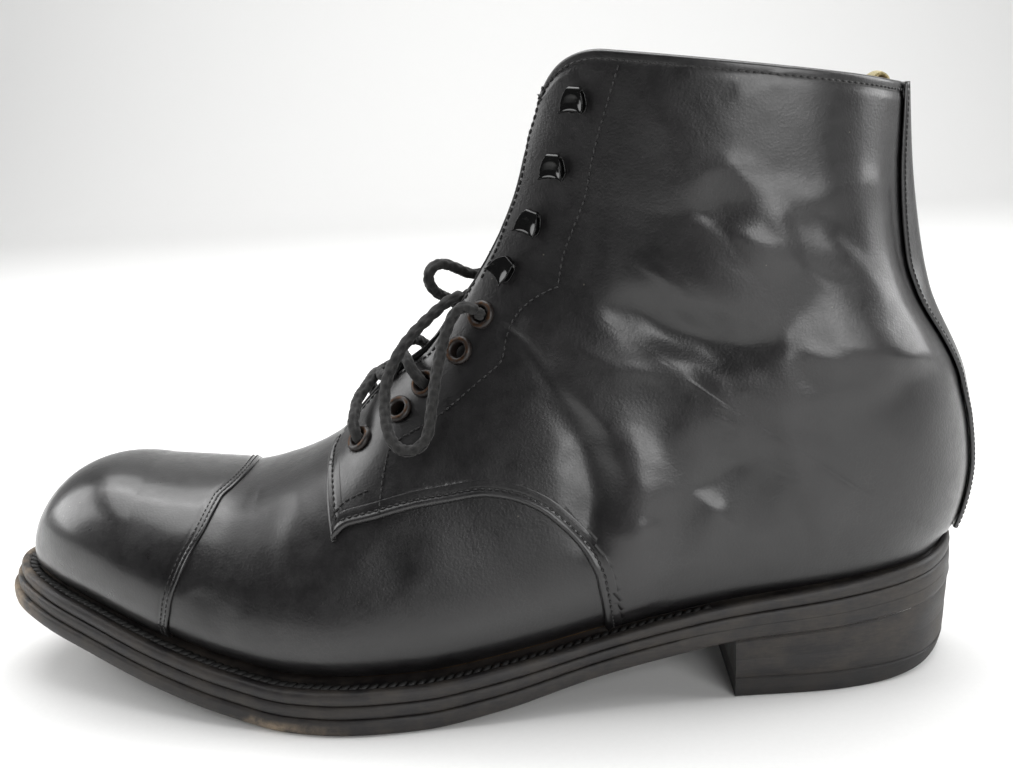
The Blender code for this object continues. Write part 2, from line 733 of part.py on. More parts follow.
class UpperSkin:
    """Outer skin with its steps, the lining inside it, and the rims between them."""

    def __init__(self):
        self.bm = bmesh.new()
        near = side_columns(-1)
        far = side_columns(1)
        self.columns = near + far[-2::-1]
        self.ridge = len(near) - 1
        self.outer = {}
        self.lining = {}
        self.inside = {}

    def place(self, zone, row, index):
        """Section and height of a node."""
        col = self.columns[index]
        seam = float(cap_seam(col.toe_height, col.side))
        if zone == "cap":
            return seam * (row / CAP_ROWS) ** CAP_ROW_POWER, col.toe_height
        if zone == "vamp":
            t = row / VAMP_ROWS
            return (seam + (col.edge_section - seam) * t,
                    col.toe_height + (col.edge_height - col.toe_height) * t)
        t = self.shares[row]
        end = float(collar_end(col.collar_height))
        return (col.edge_section + (end - col.edge_section) * t,
                col.edge_height + (col.collar_height - col.edge_height) * t)

    def point(self, zone, row, index, level):
        section, height = self.place(zone, row, index)
        side = self.columns[index].side
        point = on_upper(section, height, side, level)
        if height <= 0 and section < HEEL_SECTION + 1e-6:
            point[2] = welt_top(point[0]) + FEATHER_GAP
        return point

    def key(self, zone, row, index):
        """One name for nodes that share a place."""
        if zone == "cap" and row == 0:
            return ("cap", 0, 0)
        last = len(self.columns) - 1
        if zone == "quarter" and index == last and row >= FEATHER_ROWS:
            return (zone, row, 0)
        return (zone, row, index)

    def lining_key(self, zone, row, index):
        if zone == "vamp" and row == 0:
            return self.key("cap", CAP_ROWS, index)
        if zone == "quarter" and row == 0:
            return self.key("vamp", VAMP_ROWS, index)
        return self.key(zone, row, index)

    def vert(self, zone, row, index, level):
        key = self.key(zone, row, index)
        if key not in self.outer:
            self.outer[key] = self.bm.verts.new(self.point(zone, row, key[2], level))
            inner = self.lining_key(zone, row, index)
            if inner not in self.lining:
                self.lining[inner] = self.bm.verts.new(self.point(*inner, LINING_LEVEL))
            self.inside[self.outer[key]] = self.lining[inner]
        return self.outer[key]

    def face(self, corners):
        corners = list(dict.fromkeys(corners))
        if len(corners) > 2:
            self.bm.faces.new(corners)

    def build(self):
        self.shares = shaft_shares()
        last = len(self.columns) - 1
        level = {"cap": CAP_LEVEL, "vamp": VAMP_LEVEL, "quarter": QUARTER_LEVEL}
        rows = {"cap": CAP_ROWS, "vamp": VAMP_ROWS, "quarter": FEATHER_ROWS + SHAFT_ROWS}
        every = range(last)
        flanks = [k for k in every if k < SIDE_COLUMNS or k >= last - SIDE_COLUMNS]
        spans = {"cap": every, "vamp": every, "quarter": flanks}
        for zone in ("cap", "vamp", "quarter"):
            for row in range(rows[zone]):
                for k in spans[zone]:
                    self.face([self.vert(zone, r, c, level[zone])
                               for r, c in ((row, k), (row, k + 1), (row + 1, k + 1), (row + 1, k))])
        for zone, after, span in (("cap", "vamp", every), ("vamp", "quarter", flanks)):
            for k in span:
                self.face([self.vert(zone, rows[zone], k, level[zone]),
                           self.vert(zone, rows[zone], k + 1, level[zone]),
                           self.vert(after, 0, k + 1, level[after]),
                           self.vert(after, 0, k, level[after])])
        skin_faces = [list(face.verts) for face in self.bm.faces]
        rim = [list(edge.verts) for edge in self.bm.edges if len(edge.link_faces) == 1]
        for corners in skin_faces:
            inner = list(dict.fromkeys(self.inside[vert] for vert in reversed(corners)))
            if len(inner) > 2:
                self.bm.faces.new(inner)
        for a, b in rim:
            self.face([a, b, self.inside[b], self.inside[a]])
        return self.bm


def lace_frame(row, side):
    """Axes at a lacing place: along the facing, across it and out of the leather."""
    centre = on_upper(row.section, row.height, side, QUARTER_LEVEL)
    out = upper_normal(row.section, row.height, side)
    further = upper_point(row.section + 0.1, row.height, side)
    ahead = further - upper_point(row.section - 0.1, row.height, side)
    ahead -= out * float(ahead @ out)
    ahead /= np.linalg.norm(ahead)
    return centre, ahead, np.cross(out, ahead), out


def placed(frame, along, across, out):
    """Point given in the axes of a lacing place."""
    centre, ahead, sideways, normal = frame
    return centre + ahead * along + sideways * across + normal * out


def patch(name, material, nodes, low, high):
    """Solid between two levels of the fan surface over a grid of (section, height, side) nodes."""
    bm = bmesh.new()
    sheets = []
    for level in (low, high):
        sheet = []
        for line in nodes:
            sheet.append([bm.verts.new(on_upper(s, h, side, level(h))) for s, h, side in line])
        sheets.append(sheet)
    for sheet in sheets:
        for a, b in zip(sheet, sheet[1:]):
            for k in range(len(a) - 1):
                bm.faces.new((a[k], a[k + 1], b[k + 1], b[k]))
    edge = [list(e.verts) for e in bm.edges if len(e.link_faces) == 1]
    pair = {}
    for first, second in zip(*sheets):
        for a, b in zip(first, second):
            pair[a] = b
    for a, b in edge:
        if a in pair:
            bm.faces.new((a, b, pair[b], pair[a]))
    return mesh_object(name, bm, material)


def build_tongue(material):
    nodes = []
    for section in np.linspace(TONGUE_START, TONGUE_END, 15):
        heights = np.concatenate([np.linspace(TONGUE_EDGE, 1, 3), np.linspace(1, 2, 4)[1:]])
        line = [(section, h, -1) for h in heights] + [(section, h, 1) for h in heights[-2::-1]]
        nodes.append(line)

    def top(height):
        return TONGUE_LEVEL - TONGUE_SINK * max(0.0, height - 1)
    return patch("tongue", material, nodes, lambda h: top(h) - TONGUE_THICKNESS, top)


def strip_height(section, width):
    """Height on the back of the shaft at a distance from its centre line."""
    heights = np.linspace(0, 0.5, 300)
    line = upper_point(np.full_like(heights, section), heights, -1)
    return float(np.interp(width, -line[:, 1], heights))


def build_back_strip(material):
    nodes = []
    for section in np.linspace(HEEL_SECTION + STRIP_START, COLLAR_SECTION - 0.02, 13):
        widths = np.linspace(0, STRIP_HALF_WIDTH, 4)
        heights = [strip_height(section, width) for width in widths]
        line = [(section, h, -1) for h in heights[:0:-1]] + [(section, h, 1) for h in heights]
        nodes.append(line)
    base = QUARTER_LEVEL + STRIP_GAP
    return patch("back_strip", material, nodes, lambda h: base, lambda h: base + STRIP_THICKNESS)


def build_eyelet(name, material, row, side):
    frame = lace_frame(row, side)
    bm = bmesh.new()
    loops = []
    for radius, out in EYELET_PROFILE:
        turns = [2 * math.pi * k / EYELET_SEGMENTS for k in range(EYELET_SEGMENTS)]
        loops.append([placed(frame, radius * math.cos(a), radius * math.sin(a), out) for a in turns])
    skin(bm, loops, closed=True)
    return mesh_object(name, bm, material)


def build_hook(name, material, row, side):
    """Strip of metal bent over into a hook that opens towards the sole."""
    frame = lace_frame(row, side)
    bm = bmesh.new()
    half = HOOK_WIDTH / 2
    loops = []
    for bend in HOOK_PROFILE:
        outer, inner = (bend.along, bend.out), (bend.inner_along, bend.inner_out)
        corners = ((outer, -half), (outer, half), (inner, half), (inner, -half))
        loops.append([placed(frame, at[0], across, at[1] + HOOK_STANDOFF) for at, across in corners])
    rings = skin(bm, loops, closed=False)
    bm.faces.new(rings[0])
    bm.faces.new(rings[-1])
    return mesh_object(name, bm, material)


def build_hole_cutter():
    """Cylinders that cut the eyelet holes out of the upper."""
    bm = bmesh.new()
    for row in EYELETS:
        for side in (-1, 1):
            centre, ahead, across, out = lace_frame(row, side)
            turn = Matrix((ahead, across, out)).transposed().to_4x4()
            bmesh.ops.create_cone(bm, cap_ends=True, segments=EYELET_SEGMENTS, radius1=EYELET_HOLE,
                                  radius2=EYELET_HOLE, depth=12.0,
                                  matrix=Matrix.Translation(Vector(centre)) @ turn)
    cutter = mesh_object("eyelet_hole_cutter", bm, new_material("cutter_plain", (0.5, 0.5, 0.5), 0.5))
    cutter.hide_render = True
    cutter.display_type = "WIRE"
    return cutter


def route_points(rows, spacing):
    """Points read from a smooth curve through the places of a route."""
    knots = np.array([on_upper(row.section, row.height, row.side, row.out) for row in rows])
    run = np.concatenate([[0], np.cumsum(np.linalg.norm(np.diff(knots, axis=0), axis=1))])
    count = max(8, int(round(run[-1] / spacing)) + 1)
    at = np.linspace(0, run[-1], count)
    return np.stack([Smooth(run, knots[:, axis])(at) for axis in range(3)], axis=1)


def lace_run(rows):
    """Evenly spaced points of the cubic B-spline from the first to the last control point."""
    knots = np.array(rows, float)
    ends = np.concatenate([[2 * knots[0] - knots[1]], knots, [2 * knots[-1] - knots[-2]]])
    t = np.linspace(0, 1, 30, endpoint=False)[:, None]
    weights = ((1 - t) ** 3, 3 * t ** 3 - 6 * t ** 2 + 4, 3 * (t + t ** 2 - t ** 3) + 1, t ** 3)
    spans = [sum(w * ends[k + j] for j, w in enumerate(weights)) / 6 for k in range(len(knots) - 1)]
    curve = np.concatenate(spans + [knots[-1:]])
    run = np.concatenate([[0], np.cumsum(np.linalg.norm(np.diff(curve, axis=0), axis=1))])
    at = np.linspace(0, run[-1], int(round(run[-1] / LACE_POINT_SPACING)) + 1)
    return np.stack([np.interp(at, run, curve[:, axis]) for axis in range(3)], axis=1)


def sweep(points, radius, sides_round):
    """Closed tube along a line of points."""
    bm = bmesh.new()
    loops = []
    reference = Vector((0, 1, 0))
    for k in range(len(points)):
        ahead = Vector(points[min(k + 1, len(points) - 1)]) - Vector(points[max(k - 1, 0)])
        ahead.normalize()
        across = (reference - ahead * reference.dot(ahead)).normalized()
        reference = across
        up = ahead.cross(across)
        turns = [2 * math.pi * j / sides_round for j in range(sides_round)]
        loops.append([Vector(points[k]) + (across * math.cos(a) + up * math.sin(a)) * radius for a in turns])
    rings = skin(bm, loops, closed=False)
    bm.faces.new(rings[0])
    bm.faces.new(rings[-1])
    return bm


def mirrored(rows):
    """The same route on the other side of the boot."""
    return tuple(row._replace(side=-row.side) for row in rows)


def build_lace_crossings(material):
    """Two strands that cross over the tongue and are joined where they touch."""
    radius = LACE_DIAMETER / 2
    first = mesh_object("lace_crossings", sweep(route_points(CROSSING, 5.0), radius, 8), material)
    other = mesh_object("lace_crossing_other", sweep(route_points(mirrored(CROSSING), 5.0), radius, 8),
                        new_material("lace_other_plain", (0.02, 0.02, 0.02), 0.9))
    other.hide_render = True
    other.display_type = "WIRE"
    join = first.modifiers.new("join", "BOOLEAN")
    join.operation = "UNION"
    join.solver = "EXACT"
    join.object = other
    return first


def build_cord(name, material, rows):
    """Lace that hangs free, as a round curve."""
    points = lace_run(rows)
    curve = bpy.data.curves.new(name, "CURVE")
    curve.dimensions = "3D"
    curve.bevel_depth = LACE_DIAMETER / 2 * MM
    curve.bevel_resolution = 2
    curve.use_fill_caps = True
    spline = curve.splines.new("POLY")
    spline.points.add(len(points) - 1)
    for node, point in zip(spline.points, points):
        node.co = (*(Vector(point) - ORIGIN) * MM, 1.0)
    curve.materials.append(material)
    thing = bpy.data.objects.new(name, curve)
    bpy.context.scene.collection.objects.link(thing)
    return thing


def build_pull_loop(material):
    """Arch of tape that stands up behind the collar."""
    run = np.array([[row.x, row.z] for row in PULL_LOOP])
    tangent = np.gradient(run, axis=0)
    tangent /= np.linalg.norm(tangent, axis=1)[:, None]
    normal = np.stack([-tangent[:, 1], tangent[:, 0]], axis=1) * PULL_LOOP_THICKNESS / 2
    bm = bmesh.new()
    half = PULL_LOOP_WIDTH / 2
    loops = []
    for point, offset in zip(run, normal):
        outer, inner = point + offset, point - offset
        corners = ((outer, -half), (outer, half), (inner, half), (inner, -half))
        loops.append([(at[0], y, at[1]) for at, y in corners])
    rings = skin(bm, loops, closed=False)
    bm.faces.new(rings[0])
    bm.faces.new(rings[-1])
    return mesh_object("pull_loop", bm, material)


BLACK_LEATHER = (0.012, 0.012, 0.013)
EDGE_BLACK = (0.02, 0.019, 0.019)


def build_upper():
    bm = UpperSkin().build()
    upper = mesh_object("upper", bm, new_material("upper_leather", BLACK_LEATHER, 0.35))
    holes = upper.modifiers.new("eyelet_holes", "BOOLEAN")
    holes.operation = "DIFFERENCE"
    holes.solver = "EXACT"
    holes.object = build_hole_cutter()
    return upper


def clear_scene():
    for thing in list(bpy.data.objects):
        bpy.data.objects.remove(thing, do_unlink=True)


def build():
    clear_scene()
    build_layer("outsole", new_material("outsole_leather", EDGE_BLACK, 0.5), underside,
                less_gap(outsole_top), 0.0, 0.0)
    build_layer("midsole", new_material("midsole_leather", EDGE_BLACK, 0.5), outsole_top,
                less_gap(midsole_top), 0.2, 7.5)
    build_welt(new_material("welt_leather", EDGE_BLACK, 0.5))
    build_insole(new_material("insole_leather", (0.35, 0.24, 0.14), 0.7))
    lifts = [new_material("heel_lift_leather_%d" % (k + 1), EDGE_BLACK, 0.5) for k in range(LIFTS)]
    build_heel(lifts, new_material("heel_rubber", (0.015, 0.015, 0.015), 0.7))
    build_upper()
    build_tongue(new_material("tongue_leather", BLACK_LEATHER, 0.45))
    build_back_strip(new_material("back_strip_leather", BLACK_LEATHER, 0.35))
    build_pull_loop(new_material("pull_loop_cotton", (0.55, 0.47, 0.3), 0.9))
    for k, row in enumerate(EYELETS):
        for side, name in ((-1, "lateral"), (1, "medial")):
            metal = new_material("eyelet_metal_%s_%d" % (name, k + 1), (0.05, 0.04, 0.03), 0.4, 1.0)
            build_eyelet("eyelet_%s_%d" % (name, k + 1), metal, row, side)
    for k, row in enumerate(HOOKS):
        for side, name in ((-1, "lateral"), (1, "medial")):
            metal = new_material("hook_metal_%s_%d" % (name, k + 1), (0.03, 0.03, 0.03), 0.25, 1.0)
            build_hook("hook_%s_%d" % (name, k + 1), metal, row, side)
    lace = (0.015, 0.015, 0.016)
    build_lace_crossings(new_material("lace_crossings_cotton", lace, 0.9))
    build_cord("lace_loop_lateral", new_material("lace_loop_lateral_cotton", lace, 0.9), LATERAL_LOOP)
    build_cord("lace_loop_medial", new_material("lace_loop_medial_cotton", lace, 0.9), MEDIAL_LOOP)


build()
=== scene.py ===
# %% [markdown]
# # A worn black dress boot
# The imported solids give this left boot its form: sole, heel, one hollow upper, tongue, lacing. This
# lesson dresses them in leather, thread, metal and light. Each step says what a piece is on the real
# boot, how it could be made, and why this way was chosen. Sizes are in millimetres until a mesh is
# finished.

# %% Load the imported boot
import math
from collections import namedtuple

import bmesh
import bpy
import numpy as np
from mathutils import Matrix, Vector
from mathutils.kdtree import KDTree


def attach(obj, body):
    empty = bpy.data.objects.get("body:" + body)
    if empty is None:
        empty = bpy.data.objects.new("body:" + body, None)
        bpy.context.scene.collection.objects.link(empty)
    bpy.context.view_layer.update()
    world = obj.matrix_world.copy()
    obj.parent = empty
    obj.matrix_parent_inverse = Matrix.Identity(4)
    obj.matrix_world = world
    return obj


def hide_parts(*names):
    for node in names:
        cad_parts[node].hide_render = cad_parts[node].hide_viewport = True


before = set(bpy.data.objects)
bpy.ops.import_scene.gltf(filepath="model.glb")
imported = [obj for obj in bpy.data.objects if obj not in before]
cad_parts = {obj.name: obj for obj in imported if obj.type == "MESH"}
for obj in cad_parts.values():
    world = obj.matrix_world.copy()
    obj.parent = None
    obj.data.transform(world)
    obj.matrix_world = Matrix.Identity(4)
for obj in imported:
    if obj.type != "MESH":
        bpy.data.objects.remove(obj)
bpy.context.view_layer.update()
MM = 0.001
ORIGIN = np.array((1.5, 0.55, 0.0))

# %% [markdown]
# ## The last as a function
# A shoemaker works over a last, the solid foot that gives the boot its form. Here the last is a function:
# short tables of sections, with smooth curves through their rows. The solids were made from the same
# tables, so every panel, seam and crease that is placed with this function lies on the solid upper.

# %% Smooth curves through short tables
class Smooth:
    """A smooth curve through the rows of a short table that does not swing out between them."""

    def __init__(self, knots, values):
        self.knots = np.asarray(knots, float)
        self.values = np.asarray(values, float)
        span = np.diff(self.knots)
        rise = np.diff(self.values) / span
        slopes = [rise[0]]
        for k in range(1, len(span)):
            before, after = rise[k - 1], rise[k]
            if before * after <= 0:
                slopes.append(0.0)
                continue
            lead = 2 * span[k] + span[k - 1]
            trail = span[k] + 2 * span[k - 1]
            slopes.append((lead + trail) / (lead / before + trail / after))
        slopes.append(rise[-1])
        self.slopes = np.array(slopes)

    def __call__(self, at):
        at = np.clip(np.asarray(at, float), self.knots[0], self.knots[-1])
        k = np.clip(np.searchsorted(self.knots, at, side="right") - 1, 0, len(self.knots) - 2)
        span = self.knots[k + 1] - self.knots[k]
        t = (at - self.knots[k]) / span
        start = self.values[k] * (1 + 2 * t) * (1 - t) ** 2 + self.slopes[k] * span * t * (1 - t) ** 2
        end = self.values[k + 1] * t * t * (3 - 2 * t) + self.slopes[k + 1] * span * t * t * (t - 1)
        return start + end


def column(rows, name):
    return [getattr(row, name) for row in rows]


# %% The sole's outline and side profile
PlanRow = namedtuple("PlanRow", "along lateral medial")
SOLE_PLAN = (
    PlanRow(-151.5, -4, 21),
    PlanRow(-139, -15, 34),
    PlanRow(-124, -23.5, 44.5),
    PlanRow(-97, -36, 52.5),
    PlanRow(-67, -46, 53),
    PlanRow(-36, -52.5, 45),
    PlanRow(0, -48.5, 34),
    PlanRow(40, -41.5, 29),
    PlanRow(80, -38, 33.5),
    PlanRow(115, -34.8, 34.8),
    PlanRow(141, -24, 24),
)
SOLE_TOE = (-156.0, 8.5)
SOLE_BACK = (153.5, 0.0)
TOE_LEAN = 0.25
TOE_LEAN_FROM = -52.0
TOE_EDGE = 14.0
FEATHER_GAP = 0.7
SoleRow = namedtuple("SoleRow", "along underside outsole midsole welt shelf")
SOLE_PROFILE = (
    SoleRow(-156, 24.2, 5.6, 4.3, 4.2, 6.4),
    SoleRow(-124, 16.2, 5.6, 4.3, 4.2, 8.0),
    SoleRow(-92, 7.4, 5.6, 4.2, 4.1, 8.4),
    SoleRow(-74, 3.2, 5.6, 4.2, 4.0, 8.5),
    SoleRow(-52, 0, 5.6, 4.2, 4.0, 8.5),
    SoleRow(-14, 0, 5.6, 4.2, 4.0, 8.2),
    SoleRow(9, 3.2, 5.4, 4.0, 4.0, 7.6),
    SoleRow(39, 10.6, 5.0, 3.4, 3.4, 6.6),
    SoleRow(58, 14.8, 5.0, 3.4, 3.6, 6.0),
    SoleRow(80, 18.9, 4.6, 3.6, 3.8, 5.2),
    SoleRow(115, 21.5, 5.0, 4.4, 4.4, 4.2),
    SoleRow(153.5, 25, 5.0, 4.6, 4.6, 3.4),
)


def sole_curve(name):
    return Smooth(column(SOLE_PROFILE, "along"), column(SOLE_PROFILE, name))


underside = sole_curve("underside")
outsole_thickness = sole_curve("outsole")
midsole_thickness = sole_curve("midsole")
welt_thickness = sole_curve("welt")
shelf_width = sole_curve("shelf")


def outsole_top(along):
    return underside(along) + outsole_thickness(along)


def midsole_top(along):
    return outsole_top(along) + midsole_thickness(along)


def welt_top(along):
    return midsole_top(along) + welt_thickness(along)


def closed_curve(corners, count):
    """Samples of a smooth closed curve through its corners."""
    corners = np.asarray(corners, float)
    ahead = np.roll(corners, -1, axis=0)
    chord = np.sqrt(np.linalg.norm(ahead - corners, axis=1))
    tangent = (ahead - np.roll(corners, 1, axis=0)) / (chord + np.roll(chord, 1))[:, None]
    samples = []
    for k in range(len(corners)):
        t = np.linspace(0, 1, count, endpoint=False)[:, None]
        nxt = (k + 1) % len(corners)
        samples.append(
            corners[k] * (1 + 2 * t) * (1 - t) ** 2
            + tangent[k] * chord[k] * t * (1 - t) ** 2
            + corners[nxt] * t * t * (3 - 2 * t)
            + tangent[nxt] * chord[k] * t * t * (t - 1)
        )
    return np.concatenate(samples)


def inward(loop):
    tangent = np.roll(loop, -1, axis=0) - np.roll(loop, 1, axis=0)
    tangent /= np.linalg.norm(tangent, axis=1)[:, None]
    return np.stack([-tangent[:, 1], tangent[:, 0]], axis=1)


def sides(loop):
    """Split an outline into its lateral and its medial line, each running from toe to back."""
    loop = np.roll(loop, -int(np.argmin(loop[:, 0])), axis=0)
    back = int(np.argmax(loop[:, 0]))
    return loop[: back + 1], np.concatenate([loop[back:], loop[:1]])[::-1]


def leaned(loop, thickness):
    """Outline of a layer above the underside. At the toe spring the edge leans back."""
    share = np.clip((TOE_LEAN_FROM - loop[:, 0]) / (TOE_LEAN_FROM - SOLE_TOE[0]), 0, 1)
    moved = loop.copy()
    moved[:, 0] += TOE_LEAN * share * thickness
    return moved


PLAN_CORNERS = (
    [SOLE_TOE]
    + [(row.along, row.lateral) for row in SOLE_PLAN]
    + [SOLE_BACK]
    + [(row.along, row.medial) for row in reversed(SOLE_PLAN)]
)
SOLE_LOOP = closed_curve(PLAN_CORNERS, 24)
FEATHER_LOOP = leaned(SOLE_LOOP, TOE_EDGE)
FEATHER_LOOP = FEATHER_LOOP + inward(FEATHER_LOOP) * shelf_width(FEATHER_LOOP[:, 0])[:, None]
FEATHER_LATERAL, FEATHER_MEDIAL = sides(FEATHER_LOOP)
FEATHER_TOE, FEATHER_BACK = FEATHER_LATERAL[0], FEATHER_LATERAL[-1]
print("feather line from x", round(FEATHER_TOE[0], 1), "to", round(FEATHER_BACK[0], 1))

# %% The upper's sections
SectionRow = namedtuple("SectionRow", "crown_x crown_z low_x low_z ridge_y lateral medial belly fullness")
ON_FEATHER = None
SECTIONS = (
    SectionRow(-103, 67.2, -103, ON_FEATHER, 8, -31.0, 48.0, 0.30, 2.3),
    SectionRow(-88, 66.0, -89, ON_FEATHER, 7, -37.5, 49.5, 0.29, 2.2),
    SectionRow(-74, 65.4, -75, ON_FEATHER, 6, -42.5, 49.5, 0.28, 2.1),
    SectionRow(-58, 69.0, -56, ON_FEATHER, 4, -47.0, 47.0, 0.26, 2.0),
    SectionRow(-42, 76.0, -36, ON_FEATHER, 3, -50.0, 42.0, 0.25, 1.9),
    SectionRow(-24.5, 93.0, -7, ON_FEATHER, 2, -48.0, 36.0, 0.22, 1.85),
    SectionRow(-13.3, 103.7, 28, ON_FEATHER, 1, -44.0, 32.0, 0.20, 1.8),
    SectionRow(-5.2, 115.2, 66, ON_FEATHER, 0, -40.0, 34.0, 0.20, 1.8),
    SectionRow(1.0, 125.0, 104, ON_FEATHER, 0, -37.5, 36.5, 0.22, 1.8),
    SectionRow(5.5, 132.5, 134, ON_FEATHER, 0, -36.5, 36.5, 0.25, 1.8),
    SectionRow(9.5, 140.0, ON_FEATHER, ON_FEATHER, 0, -35.5, 35.5, 0.30, 1.8),
    SectionRow(13.8, 148.8, 156.4, 62, 0, -34.0, 34.0, 0.34, 1.8),
    SectionRow(17.2, 157.8, 153.2, 88, 0, -32.0, 32.0, 0.38, 1.8),
    SectionRow(20.0, 167.4, 141.8, 117, 0, -30.5, 30.5, 0.42, 1.8),
    SectionRow(22.8, 177.0, 136.0, 148, 0, -30.0, 30.0, 0.45, 1.8),
    SectionRow(25.7, 192.3, 133.0, 176.8, 0, -30.0, 30.0, 0.48, 1.8),
)
HEEL_SECTION = 11
COLLAR_SECTION = len(SECTIONS)
TOE_FULLNESS = 1.12
LOW_FULLNESS = 2.2
GapRow = namedtuple("GapRow", "section half_gap")
FACING_GAP = (
    GapRow(0, 17),
    GapRow(4, 20),
    GapRow(5, 20),
    GapRow(5.4, 13),
    GapRow(6.4, 11),
    GapRow(9, 11),
    GapRow(13, 11.5),
    GapRow(16, 12.5),
)


def feather(along):
    lateral = np.interp(along, FEATHER_LATERAL[:, 0], FEATHER_LATERAL[:, 1])
    medial = np.interp(along, FEATHER_MEDIAL[:, 0], FEATHER_MEDIAL[:, 1])
    return lateral, medial


def section_curves():
    """Smooth curves through the section table, with the low ends put on the feather line."""
    number = np.arange(1, len(SECTIONS) + 1)
    low_x = [FEATHER_BACK[0] if row.low_x is ON_FEATHER else row.low_x for row in SECTIONS]
    low_z = [
        float(welt_top(x)) + FEATHER_GAP if row.low_z is ON_FEATHER else row.low_z
        for row, x in zip(SECTIONS, low_x)
    ]
    low = {"low_x": low_x, "low_z": low_z}
    return {name: Smooth(number, low.get(name) or column(SECTIONS, name)) for name in SectionRow._fields}


CURVES = section_curves()
half_gap = Smooth(column(FACING_GAP, "section"), column(FACING_GAP, "half_gap"))


def upper_point(section, height, side):
    """Point of the upper: height 0 is the feather, 1 the facing's edge, 2 the ridge. Side -1 is lateral."""
    section = np.asarray(section, float)
    height = np.asarray(height, float)
    row = {name: curve(np.maximum(section, 1)) for name, curve in CURVES.items()}
    first = {name: curve(1.0) for name, curve in CURVES.items()}
    in_toe = section < 1
    turn = np.clip(section, 0, 1) * math.pi / 2
    toe_x = first["low_x"] - (first["low_x"] - FEATHER_TOE[0]) * np.cos(turn)
    low_x = np.where(in_toe, toe_x, row["low_x"])
    on_feather = section < HEEL_SECTION
    low_z = np.where(on_feather, welt_top(low_x) + FEATHER_GAP, row["low_z"])
    rise = np.sin(turn) ** TOE_FULLNESS
    crest = first["crown_z"] - first["low_z"]
    crown_x = np.where(in_toe, toe_x, row["crown_x"])
    crown_z = np.where(in_toe, low_z + crest * rise, row["crown_z"])
    ridge = np.where(in_toe, FEATHER_TOE[1] + (first["ridge_y"] - FEATHER_TOE[1]) * rise, row["ridge_y"])
    lateral, medial = feather(low_x)
    middle = np.where(on_feather, (lateral + medial) / 2, 0)
    half_low = np.where(on_feather, (medial - lateral) / 2, 0)
    first_lateral, first_medial = feather(first["low_x"])
    near, bulge = (lateral, first["lateral"] - first_lateral) if side < 0 else (
        medial, first["medial"] - first_medial)
    reach = np.where(in_toe, near + bulge * rise, row["lateral" if side < 0 else "medial"])
    belly = row["belly"]
    half = np.maximum(side * (reach - middle - (ridge - middle) * belly), half_low + 0.02)
    start = np.arccos(np.clip(half_low / half, 0, 1))
    stop = np.arccos(np.clip(half_gap(section) / np.maximum(half, 1e-6), 0, 0.9))
    low_turn = -start + (stop + start) * height
    top_turn = stop + (math.pi / 2 - stop) * (height - 1)
    turn = np.where(height <= 1, low_turn, top_turn)
    below = np.sin(np.clip(-turn, 0, math.pi / 2)) ** (2 / LOW_FULLNESS)
    reach_below = belly / np.maximum(np.sin(start), 1e-6) ** (2 / LOW_FULLNESS)
    above = np.sin(np.clip(turn, 0, math.pi / 2)) ** (2 / row["fullness"])
    share = np.where(turn < 0, belly - reach_below * below, belly + (1 - belly) * above)
    x = low_x + (crown_x - low_x) * share
    y = middle + (ridge - middle) * share + side * half * np.cos(turn)
    z = low_z + (crown_z - low_z) * share
    return np.stack([x, y, z], axis=-1)


STEP = 0.004


def upper_normal(section, height, side):
    """Outward normal of the upper."""
    section = np.maximum(np.asarray(section, float), 0.02)
    height = np.asarray(height, float)
    s_low, s_high = np.maximum(section - STEP, 0.01), np.minimum(section + STEP, COLLAR_SECTION)
    h_low, h_high = np.maximum(height - STEP, 0), np.minimum(height + STEP, 2)
    along = upper_point(s_high, height, side) - upper_point(s_low, height, side)
    up = upper_point(section, h_high, side) - upper_point(section, h_low, side)
    normal = np.cross(up, along) * side
    centre_back = (height <= 0) & (section >= HEEL_SECTION)
    normal[..., 1] = np.where(centre_back, 0.0, normal[..., 1])
    return normal / np.maximum(np.linalg.norm(normal, axis=-1, keepdims=True), 1e-9)


def both_sides(function, section, height, side):
    """Points or normals where the side differs from place to place."""
    side = np.broadcast_to(np.asarray(side), np.shape(section))
    return np.where((side < 0)[..., None], function(section, height, -1), function(section, height, 1))


print("upper from", np.round(upper_point(0.0, 0.0, -1)), "to", np.round(upper_point(16.0, 1.0, -1)))

# %% [markdown]
# ## Finishes
# Every finish starts from the real material. Colours are written as the hex values an eye-dropper would
# give and turned to linear once. One small function adds a node, so each material below reads like a
# recipe.

# %% Colour and node helpers
def linear(code):
    """Linear RGBA of an sRGB hex value."""
    parts = [int(code[k:k + 2], 16) / 255 for k in (1, 3, 5)]
    return (*[c / 12.92 if c <= 0.04045 else ((c + 0.055) / 1.055) ** 2.4 for c in parts], 1.0)


def add(tree, kind, settings=None, links=None):
    """Add a node, set its options or inputs by name, and link its inputs."""
    node = tree.nodes.new(kind)
    for name, value in (settings or {}).items():
        if isinstance(name, str) and name.islower() and hasattr(node, name):
            setattr(node, name, value)
        else:
            node.inputs[name].default_value = value
    for name, source in (links or {}).items():
        tree.links.new(source, node.inputs[name])
    return node


def new_finish(name, **shader):
    """A Principled material with its uniform values, and its tree, shader and object coordinates."""
    material = bpy.data.materials.new(name)
    material.use_nodes = True
    tree = material.node_tree
    principled = tree.nodes["Principled BSDF"]
    for socket, value in shader.items():
        principled.inputs[socket.replace("_", " ")].default_value = value
    coords = add(tree, "ShaderNodeTexCoord").outputs["Object"]
    return material, tree, principled, coords


def per_mm(size):
    """Texture scale for a pattern whose features are about this many millimetres apart."""
    return 1.0 / (size * MM)


